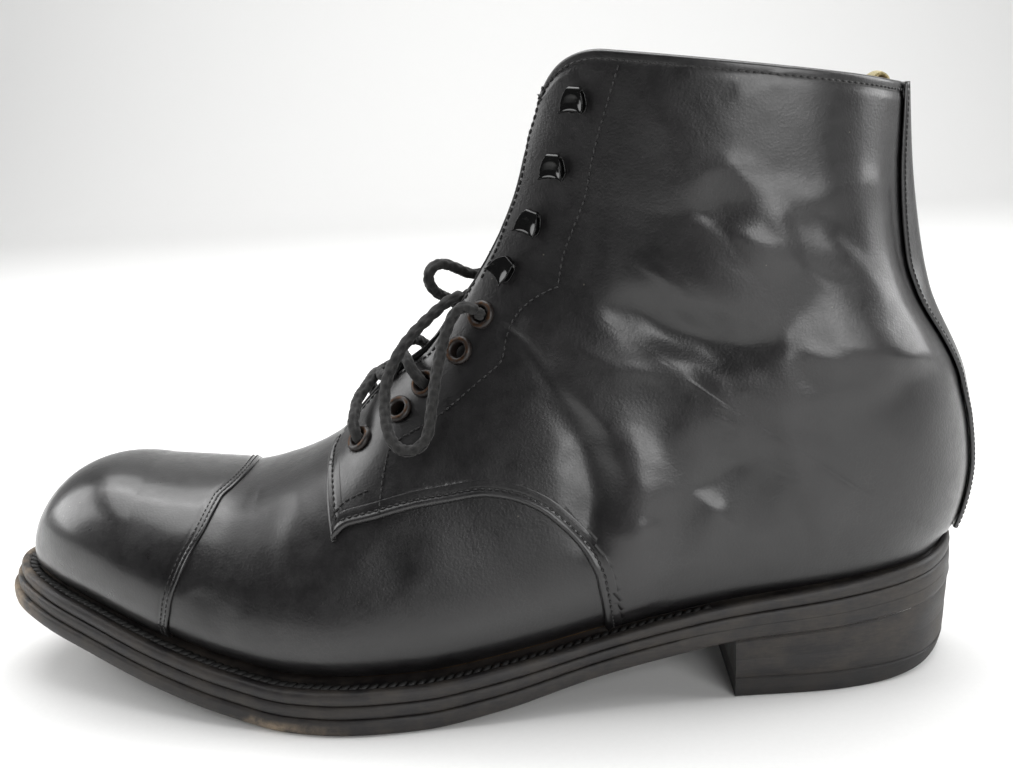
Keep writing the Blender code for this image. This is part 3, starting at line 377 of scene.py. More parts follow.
def ramp(tree, source, low, high, colours=("#000000", "#ffffff")):
    """Colour ramp between two positions."""
    node = add(tree, "ShaderNodeValToRGB", links={"Fac": source})
    for stop, position, colour in zip(node.color_ramp.elements, (low, high), colours):
        stop.position = position
        stop.color = linear(colour)
    return node.outputs["Color"]


def noise(tree, at, size, detail, roughness=0.5):
    """Noise whose blotches are about this many millimetres wide."""
    node = add(tree, "ShaderNodeTexNoise", {"Scale": per_mm(size), "Detail": detail, "Roughness": roughness},
               {"Vector": at})
    return node.outputs["Fac"]


def product(tree, one, other):
    return add(tree, "ShaderNodeMath", {"operation": "MULTIPLY"}, {0: one, 1: other}).outputs[0]


def weighted_sum(tree, source, weight, rest):
    """One value times a weight, added to another value."""
    node = add(tree, "ShaderNodeMath", {"operation": "MULTIPLY_ADD", 1: weight}, {0: source, 2: rest})
    return node.outputs[0]


def tinted(tree, mask, below, tint):
    """A colour that goes over to a tint where the mask is high."""
    node = add(tree, "ShaderNodeMix", {"data_type": "RGBA", 7: linear(tint)}, {0: mask, 6: below})
    return node.outputs[2]


def relief_value(tree):
    """The value that the mesh carries for raised and rubbed places."""
    return add(tree, "ShaderNodeAttribute", {"attribute_name": "relief"}).outputs["Fac"]


def colour_by(tree, shader, source):
    tree.links.new(source, shader.inputs["Base Color"])


def gloss_by(tree, shader, source, low, high, rough, rougher):
    """Roughness between two values, growing with a pattern."""
    spread = add(tree, "ShaderNodeMapRange", {1: low, 2: high, 3: rough, 4: rougher}, {0: source})
    tree.links.new(spread.outputs[0], shader.inputs["Roughness"])


def emboss(tree, shader, height, strength, depth):
    """Bump whose depth is in millimetres."""
    bump = add(tree, "ShaderNodeBump", {"Strength": strength, "Distance": depth * MM}, {"Height": height})
    tree.links.new(bump.outputs["Normal"], shader.inputs["Normal"])


# %% [markdown]
# The upper is box calf, dyed black through and polished for years. The grain is fine, about 0.7 mm, and
# flattened by the polish, so the leather shows broad soft highlights. Its slight sparkle is painted: pale
# specks in the colour stand in for glints. Ridges that rub are greyer and the folds hold old polish, so the
# mesh carries a relief value that both read. In patches the polish has cracked into a faint net, which the
# edges of a cell pattern give.

# %% Polished black calf
CRACK_SWAY = 3
CRACK_CELL, CRACK_PATCH = 1.7, 34
PORE = 0.75


def crackle(tree, at):
    """Mask of fine cracks between cells, in patches, on slightly swayed coordinates."""
    sway = add(tree, "ShaderNodeTexNoise", {"Scale": per_mm(4), "Detail": 3.0}, {"Vector": at})
    swayed = add(tree, "ShaderNodeVectorMath", {"operation": "MULTIPLY_ADD", 1: (CRACK_SWAY * MM,) * 3},
                 {0: sway.outputs["Color"], 2: at}).outputs[0]
    cells = add(tree, "ShaderNodeTexVoronoi", {"feature": "DISTANCE_TO_EDGE", "Scale": per_mm(CRACK_CELL)},
                {"Vector": swayed}).outputs["Distance"]
    lines = ramp(tree, cells, 0.0, 0.07, ("#ffffff", "#000000"))
    return product(tree, lines, ramp(tree, noise(tree, at, CRACK_PATCH, 4.0), 0.5, 0.72))


def polished_calf(name, gloss, grain_depth, crack_depth):
    """Black leather under a clear coat of polish, cloudy in tone and uneven in gloss."""
    material, tree, shader, at = new_finish(name, IOR=1.52, Coat_Weight=0.45, Coat_Roughness=gloss * 0.7)
    rubbed = weighted_sum(tree, noise(tree, at, 26, 5.0, 0.6), 0.55, relief_value(tree))
    base = ramp(tree, rubbed, 0.2, 0.95, ("#090809", "#211f20"))
    cracks = crackle(tree, at)
    aged = tinted(tree, cracks, base, "#1f1d1e")
    # Pale specks in the colour are painted glints, the leather's slight sparkle.
    glint_cells = add(tree, "ShaderNodeTexVoronoi", {"Scale": per_mm(9), "Randomness": 1.0}, {"Vector": at})
    painted_glints = ramp(tree, glint_cells.outputs["Distance"], 0.012, 0.03, ("#ffffff", "#000000"))
    colour_by(tree, shader, tinted(tree, painted_glints, aged, "#5b5850"))
    gloss_by(tree, shader, noise(tree, at, 6, 6.0, 0.7), 0.3, 0.75, gloss, gloss + 0.2)
    rounded = {"feature": "SMOOTH_F1", "Scale": per_mm(PORE), "Smoothness": 0.4}
    pores = add(tree, "ShaderNodeTexVoronoi", rounded, {"Vector": at}).outputs["Distance"]
    grain = weighted_sum(tree, pores, 0.5, noise(tree, at, 2.2, 6.0, 0.65))
    surface = weighted_sum(tree, cracks, -crack_depth / grain_depth, grain)
    emboss(tree, shader, surface, 0.6, grain_depth)
    return material


CAP_CALF = polished_calf("polished_calf_cap", 0.25, 0.08, 0.0)
BODY_CALF = polished_calf("polished_calf_body", 0.31, 0.13, 0.03)
print("leathers:", CAP_CALF.name, BODY_CALF.name)

# %% [markdown]
# The lining is undyed sheepskin, the insole is veg-tan leather, the sole's edge is leather burnished with
# black edge ink over hot wax, and the top piece is rubber. The edges are scratched along their length, so
# their noise is stretched along the boot.

# %% Lining, sole edge and rubber
ALONG_THE_EDGE = (0.12, 0.5, 1.0)


def soft_leather(name, pale, dark, rough):
    """Undyed leather, matt and stained."""
    material, tree, shader, at = new_finish(name, Roughness=rough, IOR=1.46)
    colour_by(tree, shader, ramp(tree, noise(tree, at, 18, 6.0), 0.35, 0.7, (dark, pale)))
    emboss(tree, shader, noise(tree, at, 0.9, 3.0), 0.5, 0.1)
    return material


def inked_edge(name, rough, dark="#191718", pale="#39342f"):
    """Inked leather edge with long scratches, rubbed to tan where the relief value is high."""
    material, tree, shader, at = new_finish(name, IOR=1.48)
    along = add(tree, "ShaderNodeMapping", {"Scale": ALONG_THE_EDGE}, {"Vector": at}).outputs[0]
    scratches = noise(tree, along, 0.7, 6.0, 0.7)
    worn = noise(tree, at, 11, 6.0, 0.7)
    base = ramp(tree, weighted_sum(tree, scratches, 0.45, worn), 0.62, 0.95, (dark, pale))
    tan = product(tree, relief_value(tree), ramp(tree, worn, 0.4, 0.62))
    colour_by(tree, shader, tinted(tree, tan, base, "#8a7a66"))
    gloss_by(tree, shader, worn, 0.3, 0.8, rough, rough + 0.25)
    emboss(tree, shader, scratches, 0.45, 0.2)
    return material


LINING = soft_leather("sheepskin_lining", "#b79d78", "#8c7454", 0.75)
INSOLE = soft_leather("veg_tan_insole", "#9a7a55", "#6e5439", 0.7)
SOLE_EDGE = inked_edge("inked_sole_edge", 0.42)
HEEL_EDGE = inked_edge("inked_heel_edge", 0.46)
TOP_PIECE_RUBBER = inked_edge("heel_rubber", 0.55, "#151415", "#2f2b28")
print("sole finishes:", SOLE_EDGE.name, HEEL_EDGE.name, TOP_PIECE_RUBBER.name)

# %% [markdown]
# Thread is waxed linen, the lace is braided cotton with a grey bloom of worn fibres, the eyelets are
# brass under dark japan that has worn off the rims, the hooks are black enamel over steel, and the pull
# loop is cotton tape.

# %% Thread, lace, metal and tape
def thread(name, colour, rough=0.55):
    material, tree, shader, at = new_finish(name, Roughness=rough)
    colour_by(tree, shader, ramp(tree, noise(tree, at, 0.4, 3.0), 0.3, 0.8, ("#0b0b0b", colour)))
    return material


def braided_cotton(name):
    """Black cotton whose raised fibres are worn grey, with a little sheen from its fuzz."""
    material, tree, shader, at = new_finish(name, Roughness=0.85, Sheen_Weight=0.12, Sheen_Roughness=0.5)
    fuzz = noise(tree, at, 0.5, 4.0)
    worn = product(tree, relief_value(tree), fuzz)
    colour_by(tree, shader, ramp(tree, worn, 0.15, 0.75, ("#090909", "#2a2928")))
    emboss(tree, shader, fuzz, 0.5, 0.12)
    return material


def worn_metal(name, paint, bare, rough, bare_rough):
    """Painted metal that is bare where it is rubbed and chipped."""
    material, tree, shader, at = new_finish(name)
    mask = ramp(tree, product(tree, relief_value(tree), noise(tree, at, 1.6, 5.0)), 0.38, 0.56)
    coats = add(tree, "ShaderNodeMix", {"data_type": "RGBA", 6: linear(paint), 7: linear(bare)}, {0: mask})
    colour_by(tree, shader, coats.outputs[2])
    tree.links.new(mask, shader.inputs["Metallic"])
    gloss_by(tree, shader, mask, 0.0, 1.0, rough, bare_rough)
    return material


def cotton_tape(name):
    material, tree, shader, at = new_finish(name, Roughness=0.9, Sheen_Weight=0.2)
    weave = add(tree, "ShaderNodeTexChecker", {"Scale": per_mm(0.6)}, {"Vector": at}).outputs["Fac"]
    colour_by(tree, shader, ramp(tree, weave, 0.0, 1.0, ("#8d8259", "#b3a67a")))
    emboss(tree, shader, weave, 0.5, 0.15)
    return material


BLACK_THREAD = thread("waxed_linen_black", "#2b2a2a")
WELT_LINEN = thread("waxed_linen_welt", "#242322", 0.6)
LACE = braided_cotton("braided_cotton_black")
JAPANNED = worn_metal("japanned_brass", "#1b1512", "#4e3a2c", 0.42, 0.5)
ENAMEL = worn_metal("black_enamel", "#080808", "#4a4643", 0.1, 0.3)
TAPE = cotton_tape("cotton_tape")
print("small finishes:", [m.name for m in (BLACK_THREAD, WELT_LINEN, LACE, JAPANNED, ENAMEL, TAPE)])

# %% [markdown]
# ## Creases
# The leather has kept the shape of a walking foot. Sculpting would do it by hand; here each fold is a row
# of a table: a line of places on the upper, a depth, and how far the leather takes to fall away on the
# left and on the right of the line. Uneven sides give the sharp overhangs of old folds. A negative depth
# is a hollow. Fine wrinkles run in families beside the folds, with seeded variation.

# %% Folds of the lateral side and how they lift the leather
FoldRow = namedtuple("FoldRow", "depth left right places")
LATERAL_FOLDS = (
    FoldRow(1.7, 24, 7, ((15.72, 0.744), (15.12, 0.728), (14.78, 0.706), (14.36, 0.70), (13.86, 0.706),
                         (13.31, 0.733), (12.65, 0.761))),
    FoldRow(-1.5, 9, 9, ((14.6, 0.655), (14.1, 0.645), (13.7, 0.66))),
    FoldRow(0.7, 5, 6, ((14.75, 0.66), (14.62, 0.617), (14.52, 0.572), (14.40, 0.52))),
    FoldRow(0.7, 5, 5, ((15.0, 0.24), (14.74, 0.417), (14.42, 0.528), (14.1, 0.575))),
    FoldRow(1.3, 14, 14, ((14.4, 0.53), (14.0, 0.585), (13.5, 0.64))),
    FoldRow(1.0, 7, 13, ((13.95, 0.52), (13.6, 0.60), (13.19, 0.678), (12.75, 0.739))),
    FoldRow(0.9, 10, 10, ((14.25, 0.41), (14.02, 0.45), (13.75, 0.49))),
    FoldRow(3.2, 15, 6.5, ((12.30, 0.80), (12.35, 0.745), (12.45, 0.689), (12.53, 0.656), (12.50, 0.615))),
    FoldRow(-3.4, 9, 9, ((11.2, 0.83), (11.53, 0.783), (11.75, 0.728), (12.05, 0.678), (12.31, 0.62))),
    FoldRow(1.7, 8, 5, ((12.40, 0.63), (12.47, 0.600), (12.65, 0.550), (12.95, 0.456), (13.11, 0.339),
                        (13.2, 0.25))),
    FoldRow(1.8, 8, 8, ((9.3, 0.83), (9.53, 0.80), (9.79, 0.744), (10.07, 0.711), (10.97, 0.728),
                        (11.57, 0.694))),
    FoldRow(1.4, 13, 5, ((12.35, 0.60), (12.19, 0.617), (11.69, 0.661), (11.19, 0.689), (9.99, 0.589),
                         (9.23, 0.506))),
    FoldRow(1.5, 6.5, 12, ((13.15, 0.32), (12.57, 0.472), (11.97, 0.572), (11.41, 0.622), (10.23, 0.556),
                           (9.33, 0.461), (8.83, 0.406))),
    FoldRow(-2.0, 12, 12, ((9.0, 0.41), (9.45, 0.45), (9.9, 0.495), (10.8, 0.58))),
    FoldRow(0.7, 4, 5, ((10.5, 0.54), (9.77, 0.461), (9.03, 0.361), (8.49, 0.30), (8.07, 0.222))),
    FoldRow(2.6, 10, 6, ((8.9, 0.72), (8.87, 0.589), (8.77, 0.539), (8.53, 0.489), (8.27, 0.444),
                         (7.92, 0.389), (7.62, 0.289))),
    FoldRow(-2.4, 7, 8, ((8.62, 0.71), (8.58, 0.60), (8.46, 0.55), (8.22, 0.495), (7.95, 0.45),
                         (7.62, 0.39))),
    FoldRow(1.3, 6, 6, ((9.3, 0.57), (8.81, 0.483), (8.59, 0.444), (8.29, 0.40), (7.98, 0.35))),
    FoldRow(-0.8, 2.5, 2.5, ((9.08, 0.86), (8.93, 0.739), (8.81, 0.65), (8.77, 0.578))),
    FoldRow(1.3, 6, 9, ((8.45, 0.42), (8.31, 0.389), (8.07, 0.333), (7.82, 0.178), (7.75, 0.1))),
    FoldRow(1.1, 17, 17, ((10.0, 0.43), (10.47, 0.472), (11.0, 0.49))),
    FoldRow(-0.6, 1.6, 1.6, ((9.09, 0.88), (9.07, 0.83), (9.06, 0.78))),
    FoldRow(-0.6, 1.6, 1.6, ((8.92, 0.87), (8.8, 0.82), (8.66, 0.78))),
    FoldRow(-1.0, 9, 9, ((5.66, 0.578), (5.82, 0.517), (5.98, 0.45))),
    FoldRow(0.8, 8, 8, ((4.54, 1.456), (4.52, 0.883), (4.38, 0.728), (4.2, 0.50))),
    FoldRow(-1.1, 9, 9, ((2.63, 0.50), (3.04, 0.411), (3.58, 0.372))),
)
WrinkleRow = namedtuple("WrinkleRow", "count depth width spread stray places")
LATERAL_WRINKLES = (
    WrinkleRow(16, -0.14, 0.9, 9, 0.3, ((14.98, 0.278), (14.74, 0.417), (14.42, 0.511), (14.14, 0.572))),
    WrinkleRow(14, -0.12, 0.9, 8, 0.3, ((14.18, 0.378), (13.90, 0.478), (13.64, 0.55), (13.19, 0.622))),
    WrinkleRow(18, -0.12, 1.0, 8, 0.2, ((12.83, 0.389), (12.17, 0.533), (11.35, 0.617), (9.99, 0.517))),
    WrinkleRow(16, -0.12, 1.0, 7, 0.2, ((9.99, 0.517), (9.07, 0.417), (8.45, 0.372), (8.1, 0.25))),
    WrinkleRow(14, -0.12, 0.9, 6, 0.2, ((8.8, 0.62), (8.5, 0.50), (8.1, 0.40), (7.9, 0.25))),
    WrinkleRow(12, -0.12, 0.9, 7, 0.3, ((12.6, 0.79), (12.47, 0.70), (12.40, 0.62))),
    WrinkleRow(20, -0.10, 0.9, 8, 0.15, ((3.4, 1.5), (3.46, 0.95), (3.3, 0.706), (3.1, 0.5), (3.0, 0.35))),
    WrinkleRow(12, -0.09, 1.0, 9, 0.3, ((13.4, 0.9), (12.6, 0.84), (11.8, 0.80))),
    WrinkleRow(14, -0.10, 0.9, 9, 0.3, ((15.6, 0.70), (15.1, 0.64), (14.7, 0.60))),
)
FOLD_CREST, FOLD_FADE, FOLD_END_WIDTH, FOLD_REACH = 1.7, 0.8, 0.55, 3
MEDIAL_FOLD_SHARE = 0.7
WRINKLE_STEPS, WRINKLE_STRAY = 60, 6
RuffleRow = namedtuple("RuffleRow", "length sway")
RUFFLES = (RuffleRow(34, 1.0), RuffleRow(17, 0.5), RuffleRow(9, 0.25))
RUFFLE_PHASES = 6.3
rng = np.random.default_rng(11)


def fold_line(places, side, count=28):
    """Points of a fold on the upper, and for each step the direction to its left along the leather."""
    places = np.asarray(places, float)
    run = np.linspace(0, len(places) - 1, count)
    section = Smooth(range(len(places)), places[:, 0])(run)
    height = Smooth(range(len(places)), places[:, 1])(run)
    line = upper_point(section, height, side)
    left = np.cross(upper_normal(section, height, side)[:-1], np.diff(line, axis=0)) * -side
    return line, left


def fold_lift(points, line, left, depth, left_width, right_width):
    """Lift of the leather near a fold line, fading out at both of its ends."""
    lift = np.zeros(len(points))
    margin = FOLD_REACH * max(left_width, right_width)
    near = np.where(np.all((points > line.min(0) - margin) & (points < line.max(0) + margin), axis=1))[0]
    if not len(near):
        return lift
    best = np.full(len(near), np.inf)
    at, width = np.zeros(len(near)), np.zeros(len(near))
    for k in range(len(line) - 1):
        span = line[k + 1] - line[k]
        away = points[near] - line[k]
        t = np.clip(away @ span / max(span @ span, 1e-9), 0, 1)
        gap = np.linalg.norm(away - t[:, None] * span, axis=1)
        closer = gap < best
        best = np.where(closer, gap, best)
        at = np.where(closer, (k + t) / (len(line) - 1), at)
        width = np.where(closer, np.where(away @ left[k] > 0, left_width, right_width), width)
    fade = np.sin(math.pi * np.clip(at, 0, 1)) ** FOLD_FADE
    width = width * (FOLD_END_WIDTH + (1 - FOLD_END_WIDTH) * fade)
    lift[near] = depth * fade * np.exp(-(best / width) ** FOLD_CREST)
    return lift


def ruffled(points):
    """Points swayed by a few waves in seeded directions, so that no fold runs too straight."""
    waves = np.random.default_rng(5)
    swayed = points.copy()
    for row in RUFFLES:
        for _ in range(3):
            heading, push = waves.normal(size=3), waves.normal(size=3)
            heading *= 2 * math.pi / row.length / np.linalg.norm(heading)
            push *= row.sway / np.linalg.norm(push)
            swayed += np.sin(points @ heading + waves.uniform(0, RUFFLE_PHASES))[..., None] * push
    return swayed


def wrinkle_lines(row, side):
    """A family of short lines that follow a main line."""
    main, _ = fold_line(row.places, side, WRINKLE_STEPS)
    for _ in range(row.count):
        first = rng.uniform(0, 0.6)
        last = min(1.0, first + rng.uniform(0.18, 0.45))
        piece = main[int(first * (WRINKLE_STEPS - 1)): int(last * (WRINKLE_STEPS - 1)) + 1]
        if len(piece) < 3:
            continue
        shift = rng.normal(0, row.spread / 2, 3)
        turn = rng.normal(0, row.stray * WRINKLE_STRAY, 3)
        yield piece + shift + np.linspace(-1, 1, len(piece))[:, None] * turn, rng.uniform(0.5, 1.2)


FOLD_LINES = []
for side in (-1, 1):
    for row in LATERAL_FOLDS:
        depth = row.depth * (1 if side < 0 else MEDIAL_FOLD_SHARE)
        FOLD_LINES.append((*fold_line(row.places, side), depth, row.left, row.right))
    for row in LATERAL_WRINKLES:
        for line, share in wrinkle_lines(row, side):
            FOLD_LINES.append((line, line[1:] * 0, row.depth * share, row.width, row.width))
print("folds and wrinkles:", len(FOLD_LINES))


def creases(points):
    """Lift of the leather over the last from all its folds."""
    flat = ruffled(points.reshape(-1, 3))
    total = np.zeros(len(flat))
    for fold in FOLD_LINES:
        total += fold_lift(flat, *fold)
    return total.reshape(points.shape[:-1])


# %% [markdown]
# ## Panels of the upper
# Clickers cut the upper as flat panels: a toe cap, a vamp and two quarters. Each panel here starts as a
# bmesh grid that is laid over the last and lifted by its creases. Its edge is skived and rolled under, so
# the grid is finer there and drops away in a quarter round. Solidify gives the wall its thickness.

# %% Seams of the panels
SeamRow = namedtuple("SeamRow", "section height")
QUARTER_EDGE = (
    SeamRow(7.36, 0.0),
    SeamRow(7.45, 0.15),
    SeamRow(7.56, 0.30),
    SeamRow(7.66, 0.425),
    SeamRow(7.59, 0.508),
    SeamRow(7.34, 0.575),
    SeamRow(6.96, 0.608),
    SeamRow(6.32, 0.617),
    SeamRow(5.79, 0.625),
    SeamRow(5.14, 0.667),
)
TAB_EDGE = (
    SeamRow(5.14, 0.667),
    SeamRow(5.09, 0.833),
    SeamRow(5.06, 1.0),
    SeamRow(5.07, 1.25),
    SeamRow(5.15, 1.45),
)
TAB_TOP = TAB_EDGE[-1].height
CAP_EDGE = (
    SeamRow(1.83, 0.0),
    SeamRow(1.95, 0.217),
    SeamRow(2.10, 0.383),
    SeamRow(2.45, 0.617),
    SeamRow(2.82, 0.85),
    SeamRow(3.15, 1.417),
    SeamRow(3.25, 1.8),
    SeamRow(3.27, 2.0),
)
CAP_MEDIAL_SWEEP = 0.6
COLLAR_CORNER = 0.95
COLLAR_CORNER_REACH = 0.16
LOW_SHARE = 10 / 14
CAP_LEVEL, VAMP_LEVEL, QUARTER_LEVEL = 0.6, -0.6, 0.8
cap_section = Smooth(column(CAP_EDGE, "height"), column(CAP_EDGE, "section"))


def cap_seam(height, side):
    ridge = CAP_EDGE[-1].section
    back = ridge - cap_section(height)
    return ridge - back * np.where(np.asarray(side) < 0, 1.0, CAP_MEDIAL_SWEEP)


def collar_end(height):
    into = np.clip((height - 1 + COLLAR_CORNER_REACH) / COLLAR_CORNER_REACH, 0, 1)
    return COLLAR_SECTION - COLLAR_CORNER * (1 - np.sqrt(1 - into * into))


def even_steps(rows, at):
    """Places at even shares of the way along a seam table."""
    fine = np.linspace(0, len(rows) - 1, 400)
    section = Smooth(range(len(rows)), column(rows, "section"))(fine)
    height = Smooth(range(len(rows)), column(rows, "height"))(fine)
    run = np.linalg.norm(np.diff(upper_point(section, height, -1), axis=0), axis=1)
    run = np.concatenate([[0], np.cumsum(run)])
    return np.interp(at * run[-1], run, section), np.interp(at * run[-1], run, height)


def edge_place(across):
    """Section and height of the quarter's front edge, from the feather (0) to the facing (1)."""
    low_s, low_h = even_steps(QUARTER_EDGE, np.clip(across / LOW_SHARE, 0, 1))
    tab_s, tab_h = even_steps(TAB_EDGE, np.clip((across - LOW_SHARE) / (1 - LOW_SHARE), 0, 1))
    low = across <= LOW_SHARE
    return np.where(low, low_s, tab_s), np.where(low, low_h, tab_h)


def border_steps(section, height, side):
    """Section and height gained for each millimetre square to a seam, into the quarter."""
    nudge = 0.001
    along = upper_point(section + nudge, height, side) - upper_point(section - nudge, height, side)
    up = upper_point(section, height + nudge, side) - upper_point(section, height - nudge, side)
    along, up = along / nudge / 2, up / nudge / 2
    edge = np.gradient(upper_point(section, height, side), axis=0)
    edge /= np.linalg.norm(edge, axis=1)[:, None]
    inner = np.cross(upper_normal(section, height, side), edge) * -side
    aa, bb, ab = (along * along).sum(1), (up * up).sum(1), (along * up).sum(1)
    ia, ib = (inner * along).sum(1), (inner * up).sum(1)
    solved = np.stack([ia * bb - ib * ab, aa * ib - ab * ia]) / (aa * bb - ab * ab)
    return solved * np.sign(solved[0].mean())


def edge_section(height):
    """Section of the quarter's front edge at a height."""
    section, seam_height = edge_place(np.linspace(0, 1, 600))
    return np.interp(height, seam_height, section)


def seam_distance(points, seam):
    """Distance of each point from the nearest point of a seam."""
    tree = KDTree(len(seam))
    for k, place in enumerate(seam):
        tree.insert(place, k)
    tree.balance()
    flat = points.reshape(-1, 3)
    return np.array([tree.find(place)[2] for place in flat]).reshape(points.shape[:-1])


def bent_share(across, at_corner):
    """Height that reaches a value at the tab's corner and 1 at the facing."""
    return np.interp(across, (0, LOW_SHARE, 1), (0, at_corner, 1))


print("quarter corner at", [np.round(x, 2) for x in edge_place(np.array([LOW_SHARE]))])

# %% Lay a grid over the last
def fine_ends(count, start, end, extra=7):
    """Shares from 0 to 1, with extra steps in the first and last bit."""
    parts = [np.linspace(start, 1 - end, count)]
    if start > 0:
        parts.insert(0, np.linspace(0, start, extra, endpoint=False))
    if end > 0:
        parts.append(np.linspace(1 - end, 1, extra + 1)[1:])
    return np.concatenate(parts)


def run_along(points, axis):
    """Distance over the surface from the first row or column."""
    step = np.linalg.norm(np.diff(points, axis=axis), axis=-1)
    zero = np.zeros_like(np.take(step, [0], axis=axis))
    return np.concatenate([zero, np.cumsum(step, axis=axis)], axis=axis)


def rolled(distance, reach, drop):
    """Quarter-round fall of a rolled edge."""
    into = 1 - np.clip(distance / reach, 0, 1)
    return -drop * (1 - np.sqrt(np.maximum(0, 1 - into * into)))


def swell(distance, centre, width, height):
    return height * np.exp(-((distance - centre) / width) ** 2)


def finished(name, bm, materials, relief=None, smooth_angle=None):
    """Turn a bmesh in millimetres into an object in metres at the origin, riding on the boot."""
    bmesh.ops.translate(bm, vec=Vector(-ORIGIN), verts=bm.verts)
    bmesh.ops.scale(bm, vec=(MM, MM, MM), verts=bm.verts)
    mesh = bpy.data.meshes.new(name)
    bm.to_mesh(mesh)
    bm.free()
    mesh.shade_smooth()
    if smooth_angle:
        mesh.set_sharp_from_angle(angle=math.radians(smooth_angle))
    for material in materials:
        mesh.materials.append(material)
    if relief is not None:
        layer = mesh.attributes.new("relief", "FLOAT", "POINT")
        layer.data.foreach_set("value", np.asarray(relief, np.float32))
    piece = bpy.data.objects.new(name, mesh)
    bpy.context.scene.collection.objects.link(piece)
    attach(piece, "root")
    return piece


def lay_grid(points):
    """A bmesh grid with one vertex for each point of a 2-D array, facing away from the last."""
    rows, columns = points.shape[:2]
    bm = bmesh.new()
    bmesh.ops.create_grid(bm, x_segments=rows - 1, y_segments=columns - 1, size=1.0)
    bm.verts.ensure_lookup_table()
    order = []
    for vert in bm.verts:
        r = round((vert.co.x + 1) / 2 * (rows - 1))
        c = round((vert.co.y + 1) / 2 * (columns - 1))
        vert.co = points[r, c]
        order.append(r * columns + c)
    return bm, np.array(order)


def turn_outwards(bm, normals, order):
    """Flip the faces if they look into the boot."""
    bm.normal_update()
    bm.verts.ensure_lookup_table()
    mine = np.array([vert.normal for vert in bm.verts])
    if np.sum(mine * normals.reshape(-1, 3)[order]) < 0:
        bmesh.ops.reverse_faces(bm, faces=bm.faces)


Panel = namedtuple("Panel", "piece points normals from_edge", defaults=(None,))


CaveRow = namedtuple("CaveRow", "section depth")
CAVED_IN = (CaveRow(12.6, 0.0), CaveRow(13.45, 1.6), CaveRow(13.9, 3.4), CaveRow(14.3, 4.6),
            CaveRow(15.0, 4.0), CaveRow(16.0, 1.2))
CAVE_CENTRE, CAVE_WIDTH, MEDIAL_CAVE = 14.0, 9.0, 0.6
CAVE_FROM, CAVE_FADE = 90, 20
BLUR_PASSES, RELIEF_OF_LIFT = 2, 0.12
cave_depth = Smooth(column(CAVED_IN, "section"), column(CAVED_IN, "depth"))


def caved(section, points, side):
    """Lift of the leather that has caved in beside the stiff back strip."""
    away = np.abs(points[..., 1])
    depth = cave_depth(section) * np.where(section < CAVED_IN[0].section, 0, 1)
    share = np.where(np.asarray(side) < 0, 1.0, MEDIAL_CAVE)
    behind = np.clip((points[..., 0] - CAVE_FROM) / CAVE_FADE, 0, 1)
    return -depth * share * behind * np.exp(-((away - CAVE_CENTRE) / CAVE_WIDTH) ** 2)


def softened(lift, passes):
    """Lift of the leather blurred over neighbouring places, so that a slanted crest has no steps."""
    for _ in range(passes):
        for axis in (0, 1):
            ends = [(1, 1) if axis == k else (0, 0) for k in range(2)]
            padded = np.swapaxes(np.pad(lift, ends, mode="edge"), 0, axis)
            lift = np.swapaxes((padded[:-2] + 2 * padded[1:-1] + padded[2:]) / 4, 0, axis)
    return lift


def lay_panel(name, section, height, side, level, materials, thickness, node="upper", keep=None, thin=None,
              stay=None):
    """Panel over the upper at a level, creased, with a wall.

    Places that aren't kept are left out. The wall thins out by the shares in thin. Where stay is true, the
    third and fourth materials take the place of the first two.
    """
    base = both_sides(upper_point, section, height, side)
    normals = both_sides(upper_normal, section, height, side)
    lift = softened(creases(base) + caved(section, base, side), BLUR_PASSES)
    points = base + normals * (lift + level)[..., None]
    bm, order = lay_grid(points)
    turn_outwards(bm, normals, order)
    if keep is not None:
        kept = keep.ravel()[order]
        bmesh.ops.delete(bm, geom=[vert for vert, stays in zip(bm.verts, kept) if not stays], context="VERTS")
        order = order[kept]
    piece = finished(name, bm, materials, (lift.ravel() * RELIEF_OF_LIFT)[order])
    wall = piece.modifiers.new("wall", "SOLIDIFY")
    wall.thickness = thickness * MM
    wall.offset = -1.0
    wall.material_offset = 1 if len(materials) > 1 else 0
    if thin is not None:
        skived = piece.vertex_groups.new(name="skived")
        for k, share in enumerate(thin.ravel()[order]):
            skived.add([k], float(share), "REPLACE")
        wall.vertex_group = skived.name
    if stay is not None:
        behind = stay.ravel()[order]
        for face in piece.data.polygons:
            face.material_index = 2 if behind[face.vertices[0]] else 0
    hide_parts(node)
    return Panel(piece, points, normals)


# %% [markdown]
# The quarters wrap the heel and the ankle. The collar and the facing are rolled to the lining. The front
# edge is folded over a cord and stands up as a lip with a row of stitches behind it, so it is laid as a
# narrow strip of its own, square to the seam, and the main sheet starts under its inner side. The wall is
# skived thin towards the collar and the facing, and a black stay lines it along the facing.

# %% Quarters
FACING_ROLL, FACING_DROP, COLLAR_DROP = 1.0, 0.9, 1.2
COLLAR_ROW, FACING_GROOVE = 3.4, 2.6
FACING_REACH = 0.09
SKIVE, SKIVED_SHARE = 4.0, 0.25
STAY_WIDTH = 22.0
QUARTER_WALL, LIP_WALL = 2.6, 1.4
HOOKS_FROM, HOOKS_FADE, HOOKS_TO = 8.3, 1.6, 15.2
TAB_FADE_END, TAB_FADE = 7.4, 1.5
QUARTER_FROM = 5.0
LIP_COVER = 3.4
BORDER = np.array((0, 0.2, 0.4, 0.65, 0.9, 1.2, 1.5, 1.9, 2.3, 2.7, 3.1, 3.6, 4.1, 4.6, 5.0, 5.4))
MITRE = 0.95
LIP_ROW = 2.5
LaceRow = namedtuple("LaceRow", "section height")
EYELETS = (LaceRow(5.64, 0.892), LaceRow(6.39, 0.883), LaceRow(7.04, 0.908), LaceRow(7.99, 0.90),
           LaceRow(8.89, 0.917))
PUNCH = 2.9


